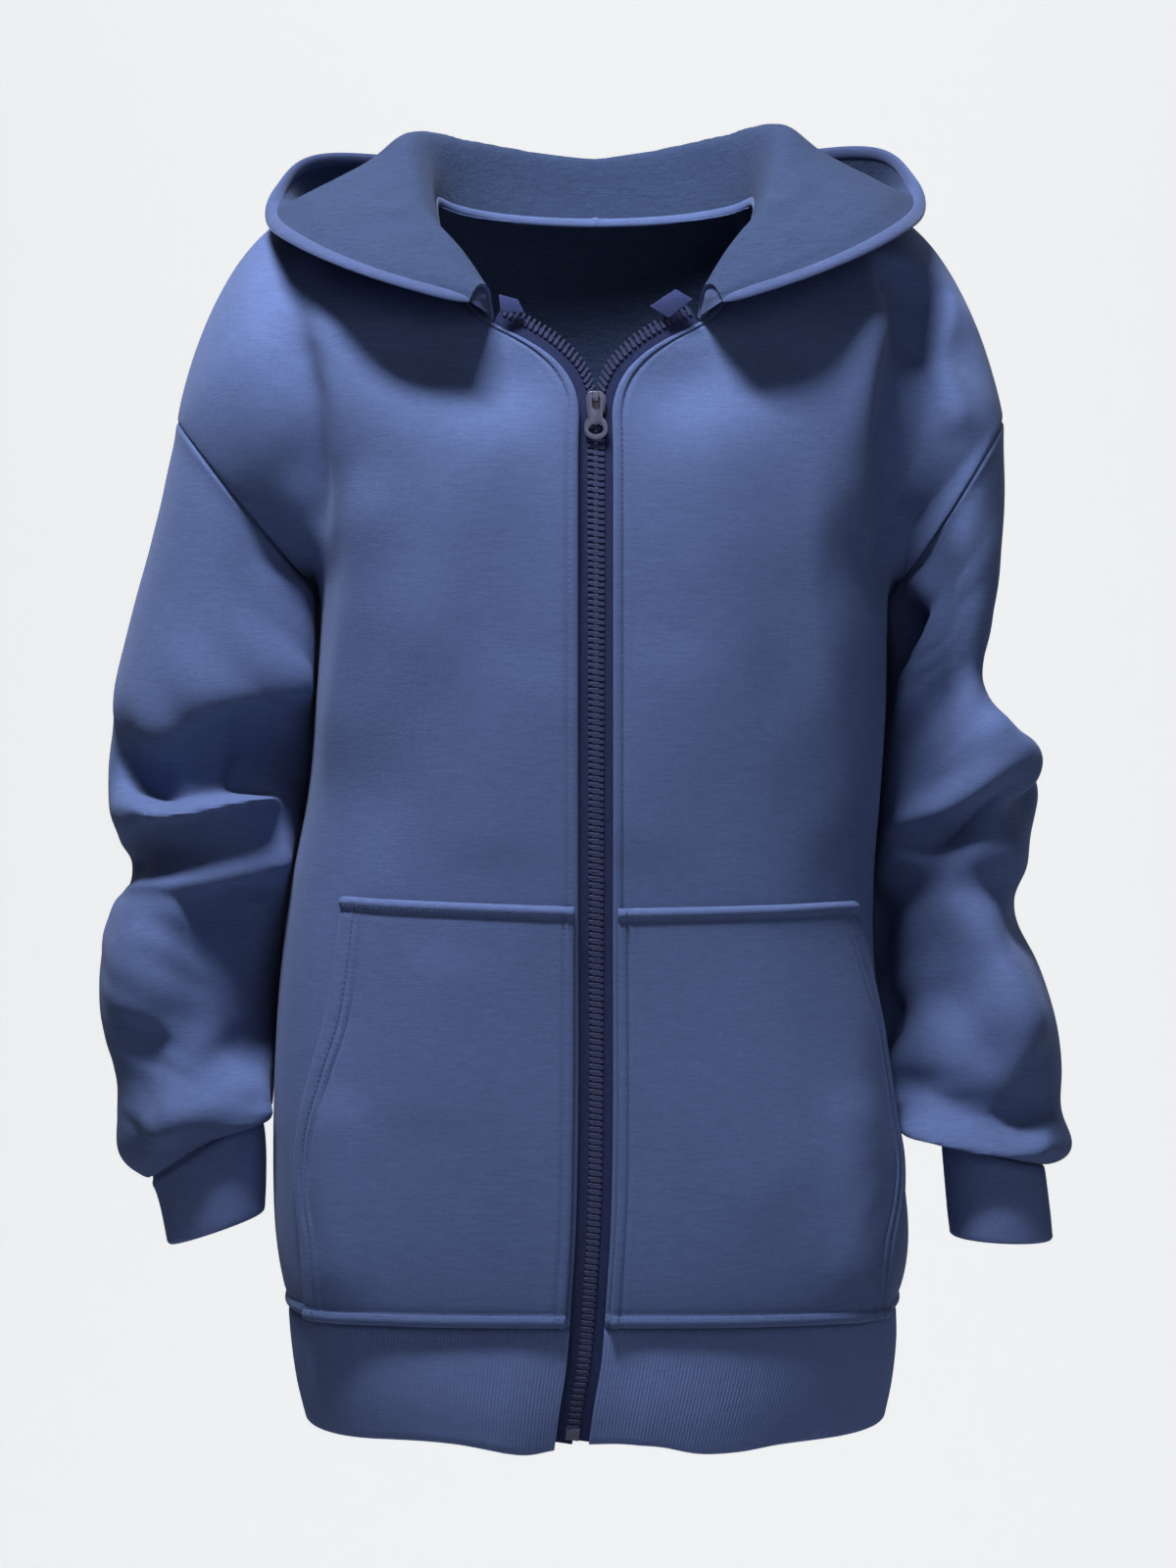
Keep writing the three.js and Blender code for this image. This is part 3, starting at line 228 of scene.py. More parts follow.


# the thread is darker than the jersey: painted shade for the dents the stitches press into the
# cloth
threadAndStitchShade = grainedFinish("sewingThreadAndStitchShade", (0.060, 0.098, 0.225), 0.7, (1500, 2),
                       (0.050, 0.084, 0.20), (0.075, 0.12, 0.27), 0.1 * mm, 0.5).material
wovenTape = tapeFinish("wovenTape", (0.019, 0.026, 0.078), (0.027, 0.037, 0.106))
tapeEndCloth = tapeFinish("tapeEndCloth", (0.038, 0.050, 0.150), (0.052, 0.067, 0.190))
moulded = grainedFinish("mouldedTeeth", (0.040, 0.046, 0.100), 0.58, (900, 2),
                        (0.030, 0.037, 0.092), (0.045, 0.054, 0.126), 0.05 * mm, 0.4)
moulded.shine(0.14)
paint = grainedFinish("paintedMetal", (0.075, 0.082, 0.150), 0.36, (320, 3),
                      (0.066, 0.072, 0.135), (0.088, 0.096, 0.172), 0.03 * mm, 0.4)
paint.shader.inputs["Coat Weight"].default_value = 0.25
mouldedTeeth, paintedMetal = moulded.material, paint.material
print("finishes made")


# cloth lattices: rows of points over each panel's outside

layerSet = {"rimWall": 4.4 * mm, "wide": 1.3, "facing": 0.6, "sharp": 58, "turn": 22, "near": 0.03}
sameSpot = 0.01 * mm


def mergedCopy(node):
    bm = bmesh.new()
    bm.from_mesh(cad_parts[node].data)
    bmesh.ops.remove_doubles(bm, verts=bm.verts, dist=sameSpot)
    return bm


def dropDiagonals(bm):
    # every triangle has one edge of each of three directions; the one that no border has goes
    kinds, first = {}, next(iter(bm.faces))
    for kind, edge in enumerate(first.edges):
        kinds[edge] = kind
    seen, waiting = {first}, [first]
    while waiting:
        face = waiting.pop()
        for edge in face.edges:
            others = {v: next(e for e in face.edges if e != edge and v in e.verts)
                      for v in edge.verts}
            for nextFace in edge.link_faces:
                if nextFace in seen:
                    continue
                seen.add(nextFace)
                waiting.append(nextFace)
                for v in edge.verts:
                    onward = next(e for e in nextFace.edges if e != edge and v in e.verts)
                    kinds[onward] = kinds[others[edge.other_vert(v)]]
    borderKinds = {kinds[e] for e in bm.edges if e.is_boundary}
    diagonal = ({0, 1, 2} - borderKinds).pop()
    bmesh.ops.dissolve_edges(bm, edges=[e for e in bm.edges if kinds[e] == diagonal],
                             use_verts=False)


def layerFaces(bm, outward, wall):
    # the faces of one side of the wall, spread from the face that lies furthest out
    out = Vector(outward)
    wide = [f for f in bm.faces
            if min(e.calc_length() for e in f.edges) > layerSet["wide"] * wall
            and f.normal.dot(out) > layerSet["facing"]]
    seed = max(wide, key=lambda f: f.calc_center_median().dot(out))
    walls = (wall, layerSet["rimWall"])
    found, waiting = {seed}, [seed]
    while waiting:
        for edge in waiting.pop().edges:
            turn = math.degrees(edge.calc_face_angle(0))
            if turn > layerSet["sharp"]:
                continue
            for face in edge.link_faces:
                onEdge = any(abs(e.calc_length() / w - 1) < layerSet["near"]
                             for e in face.edges for w in walls)
                if face not in found and not (turn > layerSet["turn"] and onEdge):
                    found.add(face)
                    waiting.append(face)
    return found


def latticeOf(node, outward, start, toward, wall=2 * mm, ring=False):
    # rows of points: the first row begins near start and runs toward the other point
    bm = mergedCopy(node)
    faces = layerFaces(bm, outward, wall)
    bmesh.ops.delete(bm, geom=[f for f in bm.faces if f not in faces], context="FACES")
    dropDiagonals(bm)
    border = [v for v in bm.verts if v.is_boundary]
    corners = [v for v in border if len(v.link_edges) == 2]
    first = min(border if ring else corners, key=lambda v: (v.co - Vector(start)).length)
    neighbours = [e.other_vert(first) for e in first.link_edges if e.is_boundary]
    second = min(neighbours, key=lambda v: (v.co - Vector(toward)).length)
    row = [first, second]
    while True:
        onward = [e.other_vert(row[-1]) for e in row[-1].link_edges
                  if e.is_boundary and e.other_vert(row[-1]) != row[-2]]
        if onward[0] == first:
            break
        row.append(onward[0])
        if not ring and len(row[-1].link_edges) == 2:
            break
    rows, used = [row], set()
    while True:
        row = rows[-1]
        above = [None] * len(row)
        pairs = [(k, k + 1) for k in range(len(row) - 1)] + ([(len(row) - 1, 0)] if ring else [])
        for a, b in pairs:
            edge = bm.edges.get((row[a], row[b]))
            face = next((f for f in edge.link_faces if f not in used), None)
            if face is None:
                break
            used.add(face)
            if len(face.verts) != 4:
                raise ValueError(f"{node}: a face of {len(face.verts)} corners at {row[a].co}")
            for index, other in ((a, b), (b, a)):
                up = [e.other_vert(row[index]) for e in row[index].link_edges if e in face.edges[:]
                      and e.other_vert(row[index]) != row[other]]
                above[index] = up[0]
        if None in above:
            break
        rows.append(above)
    points = np.array([[list(v.co) for v in r] for r in rows])
    bm.free()
    return points


def lengthsAlong(line):
    return np.concatenate([[0], np.cumsum(np.linalg.norm(np.diff(line, axis=0), axis=1))])


def readAt(at, lengths, rows):
    return [np.interp(at, lengths, rows[:, k]) for k in range(3)]


denser = 6     # readings between two points when a line is read again


def smoothLine(points, samples, closed=False):
    # a cubic line through the points (first axis), read at the samples, which count points
    count = len(points)
    if closed:
        get = lambda k: points[np.mod(k, count)]
    else:
        padded = np.concatenate([[2 * points[0] - points[1]], points,
                                 [2 * points[-1] - points[-2]]])
        get = lambda k: padded[np.clip(k + 1, 0, count + 1)]
    cell = np.floor(samples).astype(int)
    if not closed:
        cell = np.clip(cell, 0, count - 2)
    f = (samples - cell).reshape((-1,) + (1,) * (points.ndim - 1))
    a, b, c, d = get(cell - 1), get(cell), get(cell + 1), get(cell + 2)
    return b + 0.5 * f * (c - a + f * (2 * a - 5 * b + 4 * c - d + f * (3 * (b - c) + d - a)))


def evenLine(points, count, near=(), far=(), reach=(0, 0)):
    # the line read again at even lengths, with extra places near its start and its end
    dense = smoothLine(points, np.linspace(0, len(points) - 1, denser * len(points)))
    first, last = dense[0] - dense[1], dense[-1] - dense[-2]
    dense = np.concatenate([
        [dense[0] + first / np.linalg.norm(first) * reach[0]] if reach[0] else dense[:0],
        dense,
        [dense[-1] + last / np.linalg.norm(last) * reach[1]] if reach[1] else dense[:0]])
    lengths = lengthsAlong(dense)
    total = lengths[-1]
    start = near[-1] if near else 0
    end = total - (far[-1] if far else 0)
    places = [*near[:-1], *np.linspace(start, end, count), *(total - d for d in far[-2::-1])]
    return np.stack(readAt(places, lengths, dense), axis=1)


def refine(points, rowCount, columnCount, near=((), ()), far=((), ()), reach=((0, 0), (0, 0)),
           ring=False):
    # near, far, reach: first for the rows' direction (along), then for the columns' (across)
    along = np.stack([evenLine(points[:, c], rowCount, near[0], far[0], reach[0])
                      for c in range(points.shape[1])], axis=1)
    if ring:
        samples = np.linspace(0, points.shape[1], columnCount + 1)[:-1]
        return smoothLine(along.swapaxes(0, 1), samples, closed=True).swapaxes(0, 1)
    return np.stack([evenLine(row, columnCount, near[1], far[1], reach[1]) for row in along])


def normalsOf(points, outward, ring=False):
    if ring:
        across = np.roll(points, -1, 1) - np.roll(points, 1, 1)
    else:
        across = np.gradient(points, axis=1)
    normals = np.cross(across, np.gradient(points, axis=0))
    normals /= np.maximum(np.linalg.norm(normals, axis=2, keepdims=True), 1e-12)
    if ring:
        side = np.sum(normals * (points - points.mean(axis=1, keepdims=True)))
    else:
        flat = int(np.argmax((points @ np.array(outward)).ravel()))
        side = normals.reshape(-1, 3)[flat] @ np.array(outward)
    return normals * (1 if side > 0 else -1)


def softened(points, times, ring=False):
    # evens out facets without moving the borders
    for _ in range(times):
        padded = points.copy()
        if ring:
            padded = (np.roll(points, 1, 1) + points * 2 + np.roll(points, -1, 1)) / 4
        else:
            padded[:, 1:-1] = (points[:, :-2] + points[:, 1:-1] * 2 + points[:, 2:]) / 4
        points = padded.copy()
        points[1:-1] = (padded[:-2] + padded[1:-1] * 2 + padded[2:]) / 4
    return points


def distanceTo(points, path):
    # for every point: distance to a line, which side of it, and how far along (0 to 1)
    flat = points.reshape(-1, 3)
    lengths = lengthsAlong(path)
    best = np.full(len(flat), 1e9)
    along = np.zeros(len(flat))
    offset = np.zeros((len(flat), 3))
    heading = np.zeros((len(flat), 3))
    for a, b, start in zip(path[:-1], path[1:], lengths[:-1]):
        step = b - a
        size = np.linalg.norm(step)
        share = np.clip((flat - a) @ step / size ** 2, 0, 1)
        away = flat - (a + share[:, None] * step)
        distance = np.linalg.norm(away, axis=1)
        nearer = distance < best
        best[nearer] = distance[nearer]
        along[nearer] = (start + share * size)[nearer] / lengths[-1]
        offset[nearer] = away[nearer]
        heading[nearer] = step / size
    shape = points.shape[:2]
    return (best.reshape(shape), along.reshape(shape), offset.reshape(*shape, 3),
            heading.reshape(*shape, 3))


foldSet = {"offPiece": 14 * mm, "fading": 0.22, "facing": 1.8, "turned": 0.25}
moundSet = {"facing": 2, "turned": 0.7}
sewnReach = 12 * mm     # cloth this near a seam moves less and less with its folds


def onCloth(points, normals, places, facing):
    # the cloth's own points behind each (x, z) place, on the side that faces that way
    flat, ways = points.reshape(-1, 3), normals.reshape(-1, 3)
    found = []
    for x, z in places:
        miss = (flat[:, 0] - x * mm) ** 2 + (flat[:, 2] - z * mm) ** 2
        miss = miss + np.where(ways[:, 1] * facing > -0.05, 0, 1.0)
        if miss.min() < foldSet["offPiece"] ** 2:     # places beyond the piece are left out
            found.append(flat[int(np.argmin(miss))])
    return np.array(found)


def smoothShare(share):
    return share * share * (3 - 2 * share)


def heldShare(points, edges, reach):
    # 1 over the cloth, falling to 0 at the borders that are sewn and stay where they are
    share = np.ones(points.shape[:2])
    for edge in edges:
        share *= smoothShare(np.clip(edgeDistances(points, edge) / reach, 0, 1))
    return share


def addFolds(points, normals, folds, facing=-1, held=(), reach=sewnReach):
    # folds: rows of (height, first width, second width, [(x, z), ...], droop, fading), in
    # millimetres; the first width is to the left of a fold that runs down, and below one that
    # runs across to the right; droop lets a fold hang over what lies under it, and fading is
    # the share of its length over which each end dies away
    moved = points.copy()
    share = heldShare(points, held, reach)
    for height, firstWidth, secondWidth, places, *more in folds:
        droop, fading = (*more, *(0, foldSet["fading"])[len(more):])
        path = onCloth(points, normals, places, facing)
        if len(path) < 2:
            continue
        path = smoothLine(path, np.linspace(0, len(path) - 1, denser * len(path)))
        distance, along, offset, heading = distanceTo(points, path)
        side = np.sum(np.cross(heading, normals) * offset, axis=2)
        width = np.where(side > 0, firstWidth, secondWidth) * mm
        bell = np.exp(-(distance / width) ** 2)
        fade = smoothShare(np.clip(np.minimum(along, 1 - along) / fading, 0, 1))
        facingWay = np.clip(normals[..., 1] * facing * foldSet["facing"] + foldSet["turned"], 0, 1)
        size = mm * bell * fade * facingWay * share
        moved += normals * (height * size)[..., None]
        moved[..., 2] -= droop * size
    return moved


def softenedInside(points, times, ends, reach=26 * mm):
    # evens out a tube, leaving its sewn ends as they are
    share = heldShare(points, ends, reach)[..., None]
    return points * (1 - share) + softened(points, times, ring=True) * share


def swell(points, normals, mounds, held=()):
    # broad soft changes of the front: (how far back, x, z, half width, half height) in millimetres
    moved = points.copy()
    share = heldShare(points, held, sewnReach)
    share = share * np.clip(normals[..., 1] * -moundSet["facing"] + moundSet["turned"], 0, 1)
    for back, x, z, halfWidth, halfHeight in mounds:
        far = ((points[..., 0] / mm - x) / halfWidth) ** 2
        far = far + ((points[..., 2] / mm - z) / halfHeight) ** 2
        moved[..., 1] += back * mm * np.exp(-far) * share
    return moved


def edgeDistances(points, edge):
    # how far every point is from one border, along its own line
    line = points if edge in ("bottom", "top") else points.swapaxes(0, 1)
    if edge in ("top", "end"):
        line = line[::-1]
    steps = np.linalg.norm(np.diff(line, axis=0), axis=2)
    distance = np.concatenate([np.zeros((1, line.shape[1])), np.cumsum(steps, axis=0)])
    if edge in ("top", "end"):
        distance = distance[::-1]
    return distance if edge in ("bottom", "top") else distance.swapaxes(0, 1)


def shapeEdge(points, normals, edge, profile):
    # profile: (distance from the edge, height) pairs in millimetres
    distance = edgeDistances(points, edge)
    height = np.interp(distance / mm, [p[0] for p in profile], [p[1] for p in profile], right=0)
    return points + normals * (height * mm)[..., None]


# meshes


def vertsOf(grown):
    return [v for v in grown if isinstance(v, bmesh.types.BMVert)]


creaseAngle = 60     # edges sharper than this stay crisp


def finishObject(bm, name, materials, body="garment", smoothAngle=creaseAngle):
    data = bpy.data.meshes.new(name)
    bm.to_mesh(data)
    bm.free()
    for material in materials:
        data.materials.append(material)
    data.shade_smooth()
    data.set_sharp_from_angle(angle=math.radians(smoothAngle))
    made = bpy.data.objects.new(name, data)
    bpy.context.scene.collection.objects.link(made)
    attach(made, body)
    return made


def applyModifiers(made):
    # the modified mesh takes the place of the plain one
    graph = bpy.context.evaluated_depsgraph_get()
    data = bpy.data.meshes.new_from_object(made.evaluated_get(graph), depsgraph=graph)
    old = made.data
    made.modifiers.clear()
    made.data = data
    bpy.data.meshes.remove(old)


def gridMesh(points, ring=False):
    # a create_grid sheet whose points are moved to the lattice; UVs are real lengths
    if ring:
        points = np.concatenate([points, points[:, :1]], axis=1)
    rows, columns = points.shape[:2]
    bm = bmesh.new()
    uv = bm.loops.layers.uv.new("clothLengths")
    bmesh.ops.create_grid(bm, x_segments=columns - 1, y_segments=rows - 1, size=1, calc_uvs=True)
    bm.verts.ensure_lookup_table()
    wide = np.linalg.norm(np.diff(points, axis=1), axis=2).sum(axis=1).mean()
    tall = np.linalg.norm(np.diff(points, axis=0), axis=2).sum(axis=0).mean()
    for face in bm.faces:
        for loop in face.loops:
            loop[uv].uv = (loop[uv].uv[0] * wide, loop[uv].uv[1] * tall)
    spot = bm.verts.layers.int.new("spot")
    for vert in bm.verts:
        column = round((vert.co.x + 1) / 2 * (columns - 1))
        row = round((vert.co.y + 1) / 2 * (rows - 1))
        vert.co = points[row, column]
        vert[spot] = row * columns + (column if column < columns - 1 or not ring else 0)
    if ring:
        bmesh.ops.remove_doubles(bm, verts=bm.verts, dist=0.005 * mm)
    return bm, [(v[spot] // columns, v[spot] % columns) for v in bm.verts]


def clothPiece(name, points, inner, outside, inside, replaced, ring=False):
    # a wall of cloth between two lattices: Solidify makes the wall, then its inside is placed
    bm, spots = gridMesh(points, ring)
    bm.normal_update()
    rows, columns = points.shape[:2]
    outward = Vector(points[rows // 2, columns // 2] - inner[rows // 2, columns // 2])
    middle = Vector(points[rows // 2, columns // 2])
    middleFace = min(bm.faces, key=lambda f: (f.calc_center_median() - middle).length)
    if middleFace.normal.dot(outward) < 0:
        bmesh.ops.reverse_faces(bm, faces=bm.faces)
    made = finishObject(bm, name, [outside, inside])
    solid = made.modifiers.new("wall", "SOLIDIFY")
    solid.thickness = 1 * mm     # any wall will do, since the inside is placed below
    solid.offset = -1
    solid.material_offset = 1
    solid.material_offset_rim = 0
    applyModifiers(made)
    count = len(spots)
    for index, (row, column) in enumerate(spots):
        made.data.vertices[count + index].co = inner[row, column]
    made.data.shade_smooth()
    made.data.set_sharp_from_angle(angle=math.radians(creaseAngle))
    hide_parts(replaced)
    return made


# sewing

stitchSet = {"length": 2.6 * mm, "pitch": 3.3 * mm, "radius": 0.32 * mm, "sink": 0.05 * mm,
             "ahead": 0.5 * mm}


def lineOn(points, normals, edge, distance, toShare=1.0):
    # the line that runs along one border, distance metres inside it, with its normals
    away = edgeDistances(points, edge)
    line, ways = points, normals
    if edge in ("bottom", "top"):
        away, line, ways = away.T, points.swapaxes(0, 1), normals.swapaxes(0, 1)
    found, facing = [], []
    for lengths, row, way in zip(away, line, ways):
        order = np.argsort(lengths)
        found.append(readAt(distance, lengths[order], row[order]))
        facing.append(readAt(distance, lengths[order], way[order]))
    last = int(round(toShare * (len(found) - 1))) + 1
    return np.array(found)[:last], np.array(facing)[:last]


def stitchRow(bm, line, facing):
    # short rounded stitches one behind another along a line
    lengths = lengthsAlong(line)
    at = stitchSet["pitch"] / 2
    while at < lengths[-1] - stitchSet["pitch"] / 2:
        where = Vector(readAt(at, lengths, line))
        along = (Vector(readAt(at + stitchSet["ahead"], lengths, line)) - where).normalized()
        up = Vector(readAt(at, lengths, facing)).normalized()
        side = up.cross(along).normalized()
        up = along.cross(side)
        place = Matrix((along, side, up)).transposed().to_4x4()
        place.translation = where - up * stitchSet["sink"]
        half = stitchSet["radius"]
        size = Matrix.Diagonal((stitchSet["length"] / 2, half, half, 1))
        bmesh.ops.create_icosphere(bm, subdivisions=1, radius=1, matrix=place @ size)
        at += stitchSet["pitch"]


def stitchPiece(name, rows):
    bm = bmesh.new()
    for line, facing in rows:
        stitchRow(bm, line, facing)
    # stitches wear the darkened thread, painted shade of their dents
    made = finishObject(bm, name, [threadAndStitchShade])
    return made


# front panels, back, sleeves

seamDip = [(0, -0.9), (0.8, -0.5), (1.8, -0.15), (3.2, 0)]     # (mm from the edge, mm high)
seamNear = (0, 0.8 * mm, 1.8 * mm, 3.2 * mm)
seamReach = 0.78 * mm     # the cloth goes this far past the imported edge, to its seam
hemRidge = [(0, -1.6), (0.8, 0.2), (2.2, 1.3), (4.0, 1.7), (5.8, 1.3), (7.2, 0.2),
            (8.0, -0.5), (9.0, -0.3), (12, 0)]
hemRidgeNear = tuple(d * mm for d, _ in hemRidge)
hemStitchIn = 8.2 * mm

frontSet = {
    "rows": 150, "columns": 62, "wall": 2.0 * mm,
    "zipEdge": [(0, -0.5), (0.7, 0.45), (2, 0.75), (4.4, 0.75), (5.4, -0.55), (6.2, -0.6),
                (7.4, 0.45), (10, 0)],
    "zipNear": (0, 0.7 * mm, 2 * mm, 3.4 * mm, 4.4 * mm, 5.4 * mm, 6.2 * mm, 7.4 * mm, 10 * mm),
    "stitchIn": 5.8 * mm, "evened": 2,
    "cut": (0.300, 0.690), "area": 0.168,
}
frontMounds = {   # the chest falls away under the hood, fills at the bust, hangs in below it
    "right": [(10, -92, -62, 42, 30), (9, -54, -84, 28, 24), (-2.4, -72, -126, 120, 84),
              (4, -96, -350, 70, 130), (2.2, -135, -138, 30, 36), (-2.2, -135, -203, 30, 36)],
    "left": [(10, 92, -62, 42, 30), (9, 54, -84, 28, 24), (-2.4, 72, -126, 120, 84),
             (4, 96, -350, 70, 130), (1.8, 101, -212, 32, 34), (-1.8, 101, -280, 32, 34)],
}
frontFolds = {
    "right": [
        (-8, 13, 11, [(-180, -30), (-170, -82), (-165, -133), (-161, -187)]),
        (2.4, 16, 46, [(-117, -59), (-122, -116), (-133, -178), (-146, -235), (-152, -280),
                       (-155, -331)]),
        (3, 20, 22, [(-153, -483), (-154, -539), (-153, -590), (-151, -621)]),
        (1.6, 30, 30, [(-27, -235), (-50, -302), (-61, -370)]),
    ],
    "left": [
        (-26, 22, 30, [(222, 44), (212, -18), (199, -64), (187, -115), (175, -200)]),
        (5, 20, 9, [(176, -4), (164, -54), (158, -99), (160, -175)]),
        (-14, 40, 7, [(160, -2), (182, -8), (200, -14), (216, -20)]),
        (6, 7, 12, [(209, -24), (215, -71), (217, -116)]),
        (3, 40, 14, [(121, -144), (127, -212), (141, -314), (150, -381)]),
        (1.8, 30, 30, [(18, -370), (36, -297), (52, -223)]),
        (3, 22, 18, [(151, -483), (151, -539), (151, -590), (148, -621)]),
    ],
}

clothLines = {}   # lattices kept for the seams and stitching


def makeFront(side):
    sign = sides[side]
    node = f"front_{side}"
    coarse = latticeOf(node, (0, -1, 0), start=(sign * 0.010, -0.115, -0.620),
                       toward=(sign * 0.10, -0.115, -0.620))
    points = refine(coarse, frontSet["rows"], frontSet["columns"],
                    near=(hemRidgeNear, frontSet["zipNear"]), far=(seamNear, seamNear),
                    reach=((seamReach, seamReach), (0, seamReach)))
    points = softened(points, frontSet["evened"])
    normals = normalsOf(points, (0, -1, 0))
    sewn = ("bottom", "top", "end")
    points = swell(points, normals, frontMounds[side], held=sewn)
    points = addFolds(points, normals, frontFolds[side], held=sewn)
    normals = normalsOf(points, (0, -1, 0))
    inner = points - normals * frontSet["wall"]
    points = shapeEdge(points, normals, "start", frontSet["zipEdge"])
    points = shapeEdge(points, normals, "bottom", hemRidge)
    for edge in ("end", "top"):
        points = shapeEdge(points, normals, edge, seamDip)
    made = clothPiece(f"frontPanel_{side}", points, inner, jersey, shadedFleece, node)
    clothLines[node] = (points, normals)
    stitches = stitchPiece(f"placketStitches_{side}", [
        lineOn(points, normals, "start", frontSet["stitchIn"]),
        lineOn(points, normals, "bottom", hemStitchIn)])


backSet = {"rows": 130, "columns": 110, "wall": 2.0 * mm, "evened": 2,
           "cut": (0.590, 0.700), "area": 0.36}
backFolds = [
    (2.6, 26, 18, [(-120, -190), (-104, -270), (-96, -350)]),
    (2.4, 20, 28, [(124, -200), (108, -280), (102, -360)]),
    (-1.8, 30, 30, [(-60, -230), (-10, -250), (48, -236)]),
    (2.2, 26, 20, [(-110, -560), (-40, -520), (30, -512)]),
    (1.8, 18, 24, [(120, -590), (60, -560), (0, -556)]),
    (1.5, 26, 22, [(-30, -330), (-22, -420), (-36, -500)]),
    (1.5, 22, 30, [(64, -380), (58, -450), (70, -530)]),
    (-1.6, 22, 22, [(-140, -420), (-132, -500), (-138, -580)]),
]


def makeBack():
    coarse = latticeOf("back", (0, 1, 0), start=(-0.185, 0.0, -0.620), toward=(-0.10, 0.08, -0.620))
    points = refine(coarse, backSet["rows"], backSet["columns"],
                    near=(hemRidgeNear, seamNear), far=(seamNear, seamNear),
                    reach=((seamReach, seamReach), (seamReach, seamReach)))
    points = softened(points, backSet["evened"])
    normals = normalsOf(points, (0, 1, 0))
    points = addFolds(points, normals, backFolds, facing=1, held=("bottom", "top", "start", "end"))
    normals = normalsOf(points, (0, 1, 0))
    inner = points - normals * backSet["wall"]
    points = shapeEdge(points, normals, "bottom", hemRidge)
    for edge in ("start", "end", "top"):
        points = shapeEdge(points, normals, edge, seamDip)
    made = clothPiece("backPanel", points, inner, jersey, shadedFleece, "back")
    clothLines["back"] = (points, normals)
    stitches = stitchPiece("backHemStitches", [lineOn(points, normals, "bottom", hemStitchIn)])


sleeveSet = {
    "rows": 150, "columns": 150, "wall": 2.0 * mm, "cut": (0.440, 0.470), "area": 0.160,
    "evened": (6, 2, 3), "foldReach": 9 * mm,
    "tip": 22 * mm, "tipReach": 100 * mm,
}
armTuck = [(0, -3.2), (7.6, -2.4), (9.2, -0.8), (10.2, -0.2), (12, 0)]    # under the armhole's edge
armTuckNear = (0, 4 * mm, 7.6 * mm, 9.2 * mm, 10.2 * mm, 12 * mm)
armTuckReach = 9 * mm
sleeveMounds = {   # where the sleeve hangs back beside the body
    "right": [(42, -198, -426, 32, 44), (36, -204, -464, 30, 42), (22, -178, -345, 16, 34),
              (-14, -222, -508, 60, 26), (20, -168, -318, 19, 42)],
    "left": [(38, 186, -400, 46, 66), (30, 182, -456, 36, 50), (36, 184, -300, 29, 78),
             (8, 238, -506, 50, 24)],
}
